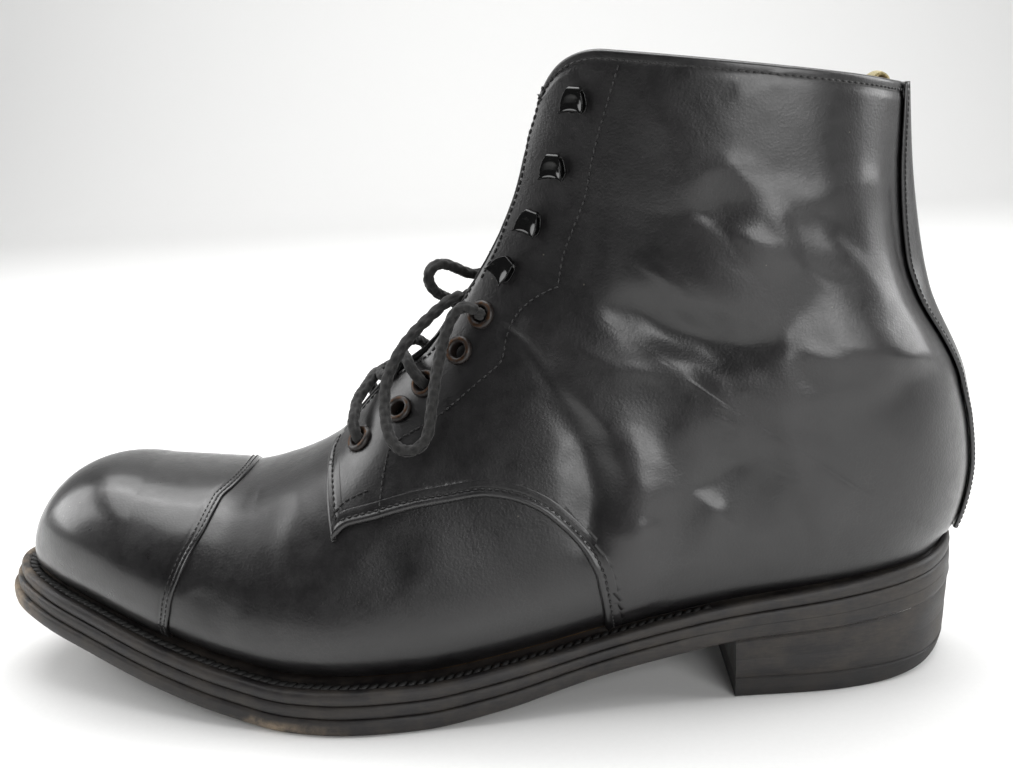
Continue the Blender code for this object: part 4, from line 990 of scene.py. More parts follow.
def facing_reach(section, side):
    """Height of the facing's edge. It closes at the tab, and the lateral one reaches round by the hooks."""
    beside_hooks = np.clip((section - HOOKS_FROM) / HOOKS_FADE, 0, 1) * np.clip(HOOKS_TO - section, 0, 1)
    at_tab = np.clip((TAB_FADE_END - section) / TAB_FADE, 0, 1)
    closed = (TAB_TOP - 1) * at_tab * at_tab * (3 - 2 * at_tab)
    return 1 + FACING_REACH * (side < 0) * beside_hooks + closed


def punched(points, side):
    """True where the leather is clear of the eyelet holes."""
    clear = np.full(points.shape[:-1], True)
    for row in EYELETS:
        clear &= np.linalg.norm(points - upper_point(row.section, row.height, side), axis=-1) > PUNCH
    return clear


def quarter(name, side, rows, columns):
    """Main sheet of a quarter, in rows of one height from the front edge to the collar."""
    up, back = fine_ends(rows, 0.0, 0.02, 7), fine_ends(columns, 0.0, 0.012, 8)
    height, share = np.meshgrid(up, back, indexing="ij")
    section = QUARTER_FROM + (collar_end(height) - QUARTER_FROM) * share
    height = height * facing_reach(section, side)
    base = upper_point(section, height, side)
    from_facing = run_along(base[::-1], 0)[::-1]
    from_collar = run_along(base[:, ::-1], 1)[:, ::-1]
    level = QUARTER_LEVEL + rolled(from_collar, FACING_ROLL, COLLAR_DROP)
    level = level + rolled(from_facing, FACING_ROLL, FACING_DROP)
    level += swell(from_collar, COLLAR_ROW, 0.8, -0.25) + swell(from_facing, FACING_GROOVE, 0.7, -0.2)
    seam = upper_point(*edge_place(np.linspace(0, 1, 700)), side)
    inside = (section > edge_section(height)) & (seam_distance(base, seam) > LIP_COVER) & punched(base, side)
    thin = np.clip(np.minimum(from_facing, from_collar) / SKIVE, SKIVED_SHARE, 1)
    materials = [BODY_CALF, LINING, BODY_CALF, BODY_CALF]
    return lay_panel(name, section, height, side, level, materials, QUARTER_WALL, keep=inside, thin=thin,
                     stay=from_facing < STAY_WIDTH)


def quarter_lip(name, side, rows, columns, corner):
    """Folded edge of a quarter along one seam, in rows at growing distances, mitred at the corner."""
    edge_s, edge_h = even_steps(rows, np.linspace(0, 1, columns))
    step_s, step_h = border_steps(edge_s, edge_h, side)
    edge = upper_point(edge_s, edge_h, side)
    to_corner = np.linalg.norm(edge - edge[corner], axis=1)
    narrow = np.clip(to_corner * MITRE / BORDER[-1], 0.03, 1)
    section = edge_s + BORDER[:, None] * narrow * step_s
    height = np.clip(edge_h + BORDER[:, None] * narrow * step_h, 0, TAB_TOP)
    base = upper_point(section, height, side)
    from_edge = seam_distance(base, upper_point(*edge_place(np.linspace(0, 1, 1500)), side))
    level = QUARTER_LEVEL + 0.03 + rolled(from_edge, 1.0, 1.4) + swell(from_edge, 1.2, 0.8, 0.25)
    level += swell(from_edge, LIP_ROW, 0.6, -0.25)
    level[-1] -= np.where(narrow < 1, 0.0, 0.3)
    panel = lay_panel(name, section, height, side, level, [BODY_CALF], LIP_WALL)
    return panel._replace(from_edge=from_edge)


QUARTER_LATERAL = quarter("quarter_lateral", -1, 180, 240)
QUARTER_MEDIAL = quarter("quarter_medial", 1, 120, 150)
LIPS_LATERAL = (quarter_lip("quarter_lip_lateral", -1, QUARTER_EDGE, 200, -1),
                quarter_lip("tab_lip_lateral", -1, TAB_EDGE, 60, 0))
LIPS_MEDIAL = (quarter_lip("quarter_lip_medial", 1, QUARTER_EDGE, 140, -1),
               quarter_lip("tab_lip_medial", 1, TAB_EDGE, 40, 0))
print("quarters:", [len(p.piece.data.polygons) for p in (QUARTER_LATERAL, QUARTER_MEDIAL)], "faces")

# %% [markdown]
# The vamp is one piece over both sides of the ball, tucked under the cap in front and under the quarters
# behind. The cap lies on it, with its cut edge turned under.

# %% Vamp and toe cap
RIDGE_SHARE = 0.14
CAP_SKIVED, CAP_SKIVE = 0.3, 6
CAP_ROWS = (2.0, 3.5)
VAMP_WALL, CAP_WALL = 1.0, 1.1
VAMP_END = (SeamRow(7.7, 0.0), SeamRow(8.0, 0.42), SeamRow(7.8, 0.55), SeamRow(5.55, 0.8),
            SeamRow(5.45, 1.0))


def across_both(count):
    """Columns from the lateral feather over the ridge to the medial feather: share, height and side."""
    half = np.linspace(0, 1, count)
    low = half * (1 + RIDGE_SHARE)
    across = np.concatenate([low, low[-2::-1]])
    side = np.concatenate([np.full(count, -1), np.full(count - 1, 1)])
    return across, side


def ridge_height(across, value):
    """Past the facing's share the height runs on to the ridge at 2."""
    return np.where(across <= 1, value, 1 + (across - 1) / RIDGE_SHARE)


def vamp(rows, low_columns, ridge_columns):
    """Sheet in lines of one height from under the cap to under the quarters."""
    half = np.concatenate([np.linspace(0, 1, low_columns), np.linspace(1, 2, ridge_columns)[1:]])
    heights = np.concatenate([half, half[-2::-1]])
    side = np.concatenate([np.full(len(half), -1), np.full(len(half) - 1, 1)])
    share, height = np.meshgrid(np.linspace(-0.09, 1, rows), heights, indexing="ij")
    side = np.broadcast_to(side, share.shape)
    end = np.interp(height, column(VAMP_END, "height"), column(VAMP_END, "section"))
    seam = cap_seam(height, side)
    section = seam + (end - seam) * share
    level = np.full(share.shape, VAMP_LEVEL)
    return lay_panel("vamp", section, height, side, level, [BODY_CALF, LINING], VAMP_WALL)


def toe_cap(rows, half_columns):
    across, side = across_both(half_columns)
    t, v = np.meshgrid(fine_ends(rows, 0.0, 0.05, 10) ** 1.4, across, indexing="ij")
    side = np.broadcast_to(side, t.shape)
    height = ridge_height(v, bent_share(np.clip(v, 0, 1), 0.6))
    section = np.maximum(cap_seam(height, side) * t, 0.004)
    base = both_sides(upper_point, section, height, side)
    from_seam = run_along(base, 0)
    from_seam = from_seam[-1:] - from_seam
    level = CAP_LEVEL + rolled(from_seam, 0.8, 1.1) + swell(from_seam, CAP_ROWS[0], 0.5, -0.2)
    level += swell(from_seam, CAP_ROWS[1], 0.5, -0.18) - CAP_SKIVED * np.exp(-(from_seam / CAP_SKIVE) ** 2)
    return lay_panel("toe_cap", section, height, side, level, [CAP_CALF, LINING], CAP_WALL)


VAMP = vamp(110, 100, 26)
TOE_CAP = toe_cap(70, 80)
print("vamp and cap:", [len(p.piece.data.polygons) for p in (VAMP, TOE_CAP)], "faces")

# %% [markdown]
# The tongue closes the throat behind the laces, a plain piece of calf. The back strip covers the closing
# seam of the quarters and stands as a stiff spine while the leather beside it has caved in.

# %% Tongue and back strip
TONGUE_START, TONGUE_END, TONGUE_EDGE = 4.6, 15.3, 0.74
TONGUE_LEVEL, TONGUE_SINK, TONGUE_THICKNESS = -4.0, 2.0, 2.0
STRIP_HALF_WIDTH, STRIP_LEVEL, STRIP_START = 12.0, 2.6, 0.2
STRIP_TAPER, STRIP_TOP_WIDTH = (14.2, 16.0), 8.0
STRIP_ROLL, STRIP_DROP, STRIP_WALL = 1.2, 1.0, 1.2


def plain_sheet(name, section, height, side, level, thickness, node, material):
    """Sheet at a level over the upper, without folds of its own."""
    base = both_sides(upper_point, section, height, side)
    normals = both_sides(upper_normal, section, height, side)
    points = base + normals * (level + caved(section, base, side))[..., None]
    bm, order = lay_grid(points)
    turn_outwards(bm, normals, order)
    piece = finished(name, bm, [material], np.zeros(len(order)))
    wall = piece.modifiers.new("wall", "SOLIDIFY")
    wall.thickness = thickness * MM
    wall.offset = -1.0
    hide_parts(node)
    return Panel(piece, points, normals)


def tongue():
    half = np.concatenate([np.linspace(TONGUE_EDGE, 1, 12), np.linspace(1, 2, 22)[1:]])
    height = np.concatenate([half, half[-2::-1]])
    side = np.concatenate([np.full(len(half), -1), np.full(len(half) - 1, 1)])
    s, h = np.meshgrid(np.linspace(TONGUE_START, TONGUE_END, 120), height, indexing="ij")
    level = TONGUE_LEVEL - TONGUE_SINK * np.clip(h - 1, 0, 1)
    return plain_sheet("tongue_leather", s, h, np.broadcast_to(side, s.shape), level, TONGUE_THICKNESS,
                       "tongue", BODY_CALF)


def back_strip():
    sections = np.linspace(HEEL_SECTION + STRIP_START, COLLAR_SECTION - 0.02, 140)
    half_width = np.interp(sections, STRIP_TAPER, (STRIP_HALF_WIDTH, STRIP_TOP_WIDTH))
    widths = half_width[:, None] * np.sin(np.linspace(0, math.pi / 2, 16))
    probe = np.linspace(0, 0.5, 300)
    heights = []
    for section, across in zip(sections, widths):
        reach = -upper_point(np.full_like(probe, section), probe, -1)[:, 1]
        heights.append(np.interp(across, reach, probe))
    heights = np.array(heights)
    height = np.concatenate([heights[:, :0:-1], heights], axis=1)
    inside = half_width[:, None] - np.concatenate([widths[:, :0:-1], widths], axis=1)
    widths = widths[0]
    side = np.concatenate([np.full(len(widths) - 1, -1), np.full(len(widths), 1)])
    section = np.broadcast_to(sections[:, None], height.shape)
    level = STRIP_LEVEL + rolled(inside, STRIP_ROLL, STRIP_DROP)
    return plain_sheet("back_strip_leather", section, height, np.broadcast_to(side, height.shape), level,
                       STRIP_WALL, "back_strip", BODY_CALF)


TONGUE = tongue()
BACK_STRIP = back_strip()
print("tongue and strip:", [len(p.piece.data.polygons) for p in (TONGUE, BACK_STRIP)], "faces")

# %% [markdown]
# ## Sole and heel
# The edge of the sole is three layers with grooves between them, burnished in one pass. Each layer starts
# as a bmesh circle that takes the outline's place, and is extruded ring by ring up its edge profile. Its
# two faces are bridged straight across from side to side, because the sole bends along its length only.

# %% Rings round the sole
SOLE_STATIONS = 150
HEEL_BREAST = 80.0


def plan_ring(inset, thickness=0.0, first=None, stations=SOLE_STATIONS):
    """Outline of the sole moved inwards: lateral points from toe to back, then medial ones forward."""
    lateral, medial = sides(SOLE_LOOP)
    turn = np.linspace(0, math.pi, stations + 1)
    if first is None:
        along = SOLE_TOE[0] + (SOLE_BACK[0] - SOLE_TOE[0]) * (1 - np.cos(turn)) / 2
        along = np.clip(along, lateral[0, 0], lateral[-1, 0])
    else:
        along = first + (lateral[-1, 0] - first) * np.sin(turn / 2)
    left = np.stack([along, np.interp(along, lateral[:, 0], lateral[:, 1])], axis=1)
    right = np.stack([along, np.interp(along, medial[:, 0], medial[:, 1])], axis=1)
    right = right[1:-1] if first is None else right[:-1]
    loop = leaned(np.concatenate([left, right[::-1]]), thickness)
    normal = inward(loop)
    if first is not None:
        normal[0], normal[-1] = (0, 1), (0, -1)
    return loop + normal * np.reshape(inset(loop[:, 0]) if callable(inset) else inset, (-1, 1))


def extruded_rings(rings):
    """Extrude a circle of edges through a list of rings. Each vertex keeps its station and its ring."""
    count = len(rings[0])
    bm = bmesh.new()
    station = bm.verts.layers.int.new("station")
    number = bm.verts.layers.int.new("ring")
    circle = bmesh.ops.create_circle(bm, segments=count, radius=1.0)["verts"]
    for vert in circle:
        vert[station] = round(math.atan2(vert.co.y, vert.co.x) / (2 * math.pi) * count) % count
        vert.co = rings[0][vert[station]]
    edges = list(bm.edges)
    foot = list(edges)
    for k, ring in enumerate(rings[1:], 1):
        grown = bmesh.ops.extrude_edge_only(bm, edges=edges)["geom"]
        new = {g for g in grown if isinstance(g, bmesh.types.BMVert)}
        for vert in new:
            vert[number] = k
            vert.co = ring[vert[station]]
        edges = [g for g in grown if isinstance(g, bmesh.types.BMEdge) and all(v in new for v in g.verts)]
    return bm, foot, edges


def stack_rings(rings, ring_shape=False):
    """Solid through rings. Its two ends are bridged to each other, or each straight across."""
    bm, foot, head = extruded_rings(rings)
    if ring_shape:
        bmesh.ops.bridge_loops(bm, edges=foot + head)
    else:
        for loop in (foot, head):
            bridge_across(bm, loop, bm.verts.layers.int["station"], len(rings[0]))
    bmesh.ops.recalc_face_normals(bm, faces=bm.faces)
    return bm


def bridge_across(bm, loop, station, count):
    """Strips straight across a closed loop of edges, from its lateral to its medial half."""
    whole = count % 2 == 0
    half = count // 2
    first, last = (0, half) if whole else (None, None)
    lateral, medial, tips = [], [], {}
    for edge in loop:
        a, b = (vert[station] for vert in edge.verts)
        if whole and (first in (a, b) or last in (a, b)):
            tips.setdefault(first if first in (a, b) else last, []).append(edge)
        elif max(a, b) <= half - (0 if not whole else 1) and abs(a - b) == 1:
            lateral.append(edge)
        elif abs(a - b) == 1 and min(a, b) > half - (1 if not whole else 0):
            medial.append(edge)
    bmesh.ops.bridge_loops(bm, edges=lateral + medial)
    for pair in tips.values():
        corners = {vert for edge in pair for vert in edge.verts}
        bmesh.ops.contextual_create(bm, geom=list(corners))


def lifted(loop, height):
    return np.column_stack([loop, height(loop[:, 0]) if callable(height) else np.full(len(loop), height)])


def between(low, high, share, drop=0.0):
    return lambda along: low(along) + (high(along) - low(along)) * share - drop


# %% [markdown]
# Each layer's edge swells a little between its grooves. The lower corner of the outsole is worn round,
# and scuffed to tan leather at the toe and under the ball.

# %% Outsole, midsole, welt
LayerRow = namedtuple("LayerRow", "share inset")
GROOVE_END, GROOVE_FADE, CLOSED_INSET = 52.0, 24, 0.1
MIDSOLE_RISE = 7.5
ChannelRow = namedtuple("ChannelRow", "share drop")
WELT_CHANNEL = (ChannelRow(0.40, 0.0), ChannelRow(0.50, 0.9), ChannelRow(0.80, 1.1), ChannelRow(0.97, 0.6))
WELT_TUCK, TUCK_DROP = 3.4, 0.6
RubRow = namedtuple("RubRow", "along reach lateral_of below")
TOE_RUB = RubRow(-152, 9, 14, 40)
BALL_RUB = RubRow(-58, 15, -30, 4)
OUTSOLE_EDGE = (LayerRow(0.0, 1.6), LayerRow(0.04, 0.8), LayerRow(0.16, 0.2), LayerRow(0.4, -0.05),
                LayerRow(0.75, 0.0), LayerRow(0.92, 0.25), LayerRow(0.985, 0.75))
MIDSOLE_EDGE = (LayerRow(0.0, 1.0), LayerRow(0.05, 0.55), LayerRow(0.2, 0.2), LayerRow(0.5, 0.1),
                LayerRow(0.8, 0.2), LayerRow(0.95, 0.55), LayerRow(0.99, 1.0))
WELT_EDGE = (LayerRow(0.0, 1.2), LayerRow(0.06, 0.6), LayerRow(0.2, 0.3), LayerRow(0.5, 0.2),
             LayerRow(0.75, 0.35), LayerRow(0.9, 0.75), LayerRow(0.98, 1.4), LayerRow(1.0, 2.2))


def closing(inset, share, closed):
    """Inset of an edge row whose groove closes over the heel, where the edge was trimmed and inked as one."""
    if (share > 0.5) != closed:
        return inset
    return lambda along: inset - (inset - CLOSED_INSET) * np.clip((along - GROOVE_END) / GROOVE_FADE, 0, 1)


def layer_rings(rows, low, high, thickness, closed=None):
    rings = []
    for row in rows:
        inset = row.inset if closed is None else closing(row.inset, row.share, closed)
        rings.append(lifted(plan_ring(inset, thickness), between(low, high, row.share)))
    return rings


def rub(row, place):
    """Share of ink that is rubbed off round a place along the sole."""
    near = (place.y < row.lateral_of) * (place.z < row.below)
    return math.exp(-((place.x - row.along) / row.reach) ** 2) * near


def sole_piece(name, rings, node, material, ring_shape=False, smooth_angle=50):
    """Layer of the sole or heel, with its rubbed places as relief values."""
    bm = stack_rings(rings, ring_shape=ring_shape)
    wear = [min(1.0, rub(TOE_RUB, vert.co) + rub(BALL_RUB, vert.co)) for vert in bm.verts]
    piece = finished(name, bm, [material], wear, smooth_angle)
    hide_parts(node)
    return piece


def welt_rings():
    rings = layer_rings(WELT_EDGE, midsole_top, welt_top, TOE_EDGE)
    for row in WELT_CHANNEL:
        rings.append(lifted(plan_ring(lambda x, s=row.share: shelf_width(x) * s, TOE_EDGE),
                            lambda x, d=row.drop: welt_top(x) - d))
    inner = plan_ring(lambda x: shelf_width(x) + WELT_TUCK, TOE_EDGE)
    rings.append(lifted(inner, lambda x: welt_top(x) - TUCK_DROP))
    rings.append(lifted(inner, midsole_top))
    return rings


outsole_rings = layer_rings(OUTSOLE_EDGE, underside, outsole_top, 0.0, True)
OUTSOLE = sole_piece("outsole_leather", outsole_rings, "outsole", SOLE_EDGE)
midsole_rings = layer_rings(MIDSOLE_EDGE, outsole_top, midsole_top, MIDSOLE_RISE, False)
MIDSOLE = sole_piece("midsole_leather", midsole_rings, "midsole", SOLE_EDGE)
WELT = sole_piece("welt_leather", welt_rings(), "welt", SOLE_EDGE, ring_shape=True)
print("sole layers:", [len(p.data.polygons) for p in (OUTSOLE, MIDSOLE, WELT)], "faces")

# %% [markdown]
# The heel is a stack of leather lifts with a rubber top piece, trimmed and inked as one block. Its back
# corner is worn away by the wearer's stride, and fine lines show between the lifts.

# %% Heel
HEEL_INSET, HEEL_TAPER, TOP_PIECE, LIFTS = 0.4, 1.4, 6.4, 2
WEAR_FROM, WEAR_LIFT = 118.0, 5.0
GAP = 0.3


def heel_floor(along):
    worn = np.clip((along - WEAR_FROM) / (SOLE_BACK[0] - WEAR_FROM), 0, 1)
    return WEAR_LIFT * worn ** 2


def heel_line(level, drop=0.0):
    return lambda along: TOP_PIECE + (underside(along) - GAP - TOP_PIECE) * level - drop


def heel_ring(inset, height):
    return lifted(plan_ring(inset, first=HEEL_BREAST, stations=60), height)


def heel_block(name, low, high, inset_low, inset_high, node, material, foot=0.5, head=0.5):
    """Layer of the heel. Foot and head are how far its lower and upper corners draw in."""
    rings = [heel_ring(inset_low + foot, low), heel_ring(inset_low, between(low, high, 0.08)),
             heel_ring((inset_low + inset_high) / 2 - 0.05, between(low, high, 0.5)),
             heel_ring(inset_high, between(low, high, 0.92)), heel_ring(inset_high + head, high)]
    return sole_piece(name, rings, node, material, smooth_angle=40)


SEAT_SINK, LIFT_LAP = 0.4, 0.02
for k in range(LIFTS):
    low, high = k / LIFTS, (k + 1) / LIFTS
    at_seat = k == LIFTS - 1
    heel_block("heel_lift_leather_%d" % (LIFTS - k), heel_line(low, -LIFT_LAP),
               heel_line(high, -(SEAT_SINK if at_seat else LIFT_LAP)),
               HEEL_INSET + HEEL_TAPER * (1 - low) * 0.6, HEEL_INSET + HEEL_TAPER * (1 - high) * 0.6,
               "heel_lift_%d" % (LIFTS - k), HEEL_EDGE, 0.1 if at_seat else 0.5,
               0.5 if at_seat else 0.1)
heel_block("heel_top_piece_rubber", heel_floor, heel_line(0, -LIFT_LAP), HEEL_INSET + HEEL_TAPER,
           HEEL_INSET + HEEL_TAPER * 0.6, "heel_top_piece", TOP_PIECE_RUBBER)
print("heel blocks:", LIFTS + 1)

# %% [markdown]
# ## Stitching
# A closing machine sews about five stitches to the centimetre on the upper; the welt is sewn by hand with
# a thick thread. Each stitch is a small ball, stretched along the seam and sunk halfway. They are joined
# into one mesh.

# %% Lay stitches along a line
def even_line(points, normals, pitch):
    """Places, directions and normals at an even pitch along a line."""
    run = np.concatenate([[0], np.cumsum(np.linalg.norm(np.diff(points, axis=0), axis=1))])
    at = np.arange(pitch / 2, run[-1], pitch)
    place = np.stack([np.interp(at, run, points[:, k]) for k in range(3)], axis=1)
    ahead = np.stack([np.interp(at + 0.2, run, points[:, k]) - np.interp(at - 0.2, run, points[:, k])
                      for k in range(3)], axis=1)
    normal = np.stack([np.interp(at, run, normals[:, k]) for k in range(3)], axis=1)
    return place, ahead, normal


def sew(bm, points, normals, pitch, length, width, slant=0.0, proud=0.15, rounds=6):
    """Add stitches to a bmesh along a line of points."""
    for place, ahead, normal in zip(*even_line(points, normals, pitch)):
        out = Vector(normal).normalized()
        forward = Vector(ahead)
        forward = (forward - out * forward.dot(out)).normalized()
        across = out.cross(forward)
        if slant:
            turn = Matrix.Rotation(slant, 3, out)
            forward, across = turn @ forward, turn @ across
        axes = Matrix((forward * length / 2, across * width / 2, out * width / 2)).transposed().to_4x4()
        bmesh.ops.create_uvsphere(bm, u_segments=rounds, v_segments=4, radius=1.0,
                                  matrix=Matrix.Translation(Vector(place) + out * proud) @ axes)


def at_distance(points, normals, distance, from_end=False, run=None):
    """Line over a panel at a distance from its first or last row."""
    if from_end:
        points, normals = points[::-1], normals[::-1]
    run = run_along(points, 0) if run is None else np.maximum.accumulate(run, axis=0)
    line, face = [], []
    for c in range(points.shape[1]):
        line.append([np.interp(distance, run[:, c], points[:, c, k]) for k in range(3)])
        face.append([np.interp(distance, run[:, c], normals[:, c, k]) for k in range(3)])
    return np.array(line), np.array(face)


def flipped(points, normals):
    return np.swapaxes(points, 0, 1), np.swapaxes(normals, 0, 1)


# %% Seams of the upper
UPPER_SEW = 2.1, 1.7, 0.62
CAP_SEW = 1.8, 1.4, 0.45
STRIP_SEW = 1.6, 1.5, 0.4
STRIP_ROW = 1.5
FACING_ROW_START, HOOK_ROW_START = 4, 42
FACING_ROW, HOOK_ROW = 3.0, 4.8
STAY_LINE = ((5.79, 0.633), (5.95, 0.73), (6.17, 0.792), (7.49, 0.808), (8.39, 0.80), (8.96, 0.833),
             (9.9, 0.868), (10.88, 0.88), (11.81, 0.89), (12.5, 0.885), (13.55, 0.867), (14.9, 0.842),
             (15.85, 0.808))
BAR_LINE = ((5.16, 0.735), (5.45, 0.722), (5.72, 0.71))


def surface_line(places, side, level, count=160):
    """Line through places on the creased leather, and its normals."""
    places = np.asarray(places, float)
    run = np.linspace(0, len(places) - 1, count)
    section = Smooth(range(len(places)), places[:, 0])(run)
    height = Smooth(range(len(places)), places[:, 1])(run)
    base, normal = upper_point(section, height, side), upper_normal(section, height, side)
    return base + normal * (creases(base) + level)[:, None], normal


bm = bmesh.new()
for panel, lips, side in ((QUARTER_LATERAL, LIPS_LATERAL, -1), (QUARTER_MEDIAL, LIPS_MEDIAL, 1)):
    for lip in lips:
        wide = lip.from_edge[-1] > LIP_ROW
        line = at_distance(lip.points[:, wide], lip.normals[:, wide], LIP_ROW, run=lip.from_edge[:, wide])
        sew(bm, *line, *UPPER_SEW)
    sew(bm, *at_distance(*flipped(panel.points, panel.normals), COLLAR_ROW, True), *UPPER_SEW)
    behind_tab = FACING_ROW_START * panel.points.shape[1] // 100
    by_hooks = HOOK_ROW_START * panel.points.shape[1] // 100
    hook_row = HOOK_ROW if side < 0 else FACING_ROW
    for part, distance in ((slice(behind_tab, by_hooks), FACING_ROW), (slice(by_hooks, None), hook_row)):
        facing = panel.points[:, part], panel.normals[:, part]
        sew(bm, *at_distance(*facing, distance, True), *UPPER_SEW)
    for places in (STAY_LINE, BAR_LINE):
        sew(bm, *surface_line(places, side, QUARTER_LEVEL), *UPPER_SEW)
for distance in CAP_ROWS:
    sew(bm, *at_distance(TOE_CAP.points, TOE_CAP.normals, distance, True), *CAP_SEW, proud=0.08)
strip = flipped(BACK_STRIP.points, BACK_STRIP.normals)
for from_end in (False, True):
    sew(bm, *at_distance(*strip, STRIP_ROW, from_end), *STRIP_SEW, proud=0.05)
UPPER_STITCHES = finished("upper_stitches", bm, [BLACK_THREAD])
print("upper stitches:", len(UPPER_STITCHES.data.polygons), "faces")

# %% [markdown]
# The welt stitches lie in a channel beside the upper, thick and slanted, from one side of the heel round
# the toe to the other.

# %% Welt stitches
WELT_SEW = 2.8, 5.0, 2.2
WELT_SLANT, WELT_ROW, WELT_ROW_END, WELT_ROW_DROP = 0.85, 0.62, 74, 1.0


def welt_line(share):
    """Line along the welt's shelf at a share of its width, from the lateral heel round the toe."""
    plan = plan_ring(lambda x: shelf_width(x) * share, TOE_EDGE)
    ring = lifted(plan, lambda x: welt_top(x) - WELT_ROW_DROP)
    ring = np.roll(ring, -SOLE_STATIONS, axis=0)
    return ring[ring[:, 0] < WELT_ROW_END]


line = welt_line(WELT_ROW)
along = np.gradient(line[:, 0])
slope = np.gradient(welt_top(line[:, 0])) / np.where(np.abs(along) < 1e-3, 1e-3, along)
up = np.stack([-np.clip(slope, -0.5, 0.5), np.zeros(len(line)), np.ones(len(line))], axis=1)
bm = bmesh.new()
sew(bm, line, up, *WELT_SEW, WELT_SLANT, 0.1, 8)
WELT_STITCHES = finished("welt_stitches", bm, [WELT_LINEN])
print("welt stitches:", len(WELT_STITCHES.data.polygons), "faces")

# %% [markdown]
# ## Lacing
# Eyelets are rolled from tube, so their section is spun round the hole. Their dark japan has worn to
# brown on the rim.

# %% Eyelets
EYELET_SECTION = ((2.35, -2.6), (2.25, -1.0), (2.3, 0.4), (2.55, 1.15), (3.1, 1.45), (3.75, 1.35),
                  (4.2, 0.95), (4.35, 0.4), (4.3, 0.0))
EYELET_STEPS = 32
RIM_FROM, RIM_FADE = 0.9, 0.5


def lace_frame(row, side):
    """Axes at a lacing place as a matrix: along the facing, across it, and out of the leather."""
    base = upper_point(row.section, row.height, side)
    out = upper_normal(row.section, row.height, side)
    nudge = 0.1
    ahead = upper_point(row.section + nudge, row.height, side)
    ahead = ahead - upper_point(row.section - nudge, row.height, side)
    ahead -= out * float(ahead @ out)
    ahead /= np.linalg.norm(ahead)
    across = np.cross(out, ahead)
    axes = Matrix((ahead, across, out)).transposed().to_4x4()
    return Matrix.Translation(Vector(base + out * QUARTER_LEVEL)) @ axes


SIDES = ((-1, "lateral"), (1, "medial"))
bm = bmesh.new()
rim = []
for row in EYELETS:
    for side, _ in SIDES:
        place = lace_frame(row, side)
        verts = [bm.verts.new((radius, 0, out)) for radius, out in EYELET_SECTION]
        edges = [bm.edges.new(pair) for pair in zip(verts, verts[1:])]
        before = len(bm.verts) - len(verts)
        bmesh.ops.spin(bm, geom=verts + edges, cent=(0, 0, 0), axis=(0, 0, 1), angle=2 * math.pi,
                       steps=EYELET_STEPS, use_merge=True)
        bm.verts.ensure_lookup_table()
        new = bm.verts[before:]
        rim += [float(np.clip((vert.co.z - RIM_FROM) / RIM_FADE, 0, 1)) for vert in new]
        bmesh.ops.transform(bm, matrix=place, verts=new)
bmesh.ops.recalc_face_normals(bm, faces=bm.faces)
EYELET_METAL = finished("eyelet_rings", bm, [JAPANNED], rim)
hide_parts(*["eyelet_%s_%d" % (name, k + 1) for k in range(len(EYELETS)) for _, name in SIDES])
print("eyelets:", len(EYELET_METAL.data.polygons), "faces")

# %% [markdown]
# A hook is stamped from sheet steel: a foot riveted to the leather, a bend at the top, and a hood that
# comes back over the lace and flares into two small horns at its free end. It is laid as a bent grid with
# a dished hood, and Solidify and Bevel give the sheet its thickness and its round rim.

# %% Hooks
HOOKS = (LaceRow(10.43, 0.95), LaceRow(12.01, 0.95), LaceRow(13.65, 0.925), LaceRow(15.18, 0.892))
HookRow = namedtuple("HookRow", "along out half_width")
HOOK_RUN = (
    HookRow(-3.2, 0.5, 2.0),
    HookRow(-1.0, 0.5, 3.0),
    HookRow(2.2, 0.5, 2.2),
    HookRow(3.6, 1.2, 1.5),
    HookRow(4.0, 2.4, 1.3),
    HookRow(3.6, 3.5, 1.9),
    HookRow(2.2, 4.1, 2.9),
    HookRow(0.2, 4.3, 3.4),
    HookRow(-1.6, 4.3, 3.4),
    HookRow(-2.5, 4.5, 3.8),
)
HOOD_FROM, HOOD_CENTRE, HOOD_REACH = 5, 7.4, 1.5
HOOD_DISH, HOOD_ROUND, HOOK_SHEET, HOOK_WEAR = 0.75, 0.8, 0.7, 0.4


def hook_points(place, rows=46, columns=17):
    """Bent sheet of one hook: rows from its foot to the hood's free end, columns across."""
    run = np.linspace(0, len(HOOK_RUN) - 1, rows)
    along, out, half = (Smooth(range(len(HOOK_RUN)), column(HOOK_RUN, name))(run)[:, None]
                        for name in HookRow._fields)
    across = np.linspace(-1, 1, columns)[None]
    hood = np.clip((run[:, None] - HOOD_FROM) / HOOD_REACH, 0, 1)
    centre = np.exp(-((run[:, None] - HOOD_CENTRE) / HOOD_REACH) ** 2)
    dish = -HOOD_DISH * hood * centre * (1 - across ** 2)
    flat = np.broadcast_arrays(along - HOOD_ROUND * hood * across ** 2, across * half, out + dish)
    local = np.stack(flat, axis=-1)
    axes = np.array(place)
    return local @ axes[:3, :3].T + axes[:3, 3]


def joined(parts):
    """One bmesh from several."""
    whole = bmesh.new()
    for bm in parts:
        mesh = bpy.data.meshes.new("part")
        bm.to_mesh(mesh)
        bm.free()
        whole.from_mesh(mesh)
        bpy.data.meshes.remove(mesh)
    return whole


sheets = [lay_grid(hook_points(lace_frame(row, side)))[0] for row in HOOKS for side, _ in SIDES]
bm = joined(sheets)
HOOK_METAL = finished("hook_caps", bm, [ENAMEL], np.full(len(bm.verts), HOOK_WEAR))
sheet = HOOK_METAL.modifiers.new("sheet", "SOLIDIFY")
sheet.thickness, sheet.offset = HOOK_SHEET * MM, 0.0
rims = HOOK_METAL.modifiers.new("rims", "BEVEL")
rims.width, rims.segments, rims.angle_limit = HOOK_SHEET * 0.4 * MM, 3, math.radians(50)
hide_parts(*["hook_%s_%d" % (name, k + 1) for k in range(len(HOOKS)) for _, name in SIDES])
print("hooks:", len(HOOK_METAL.data.polygons), "faces")

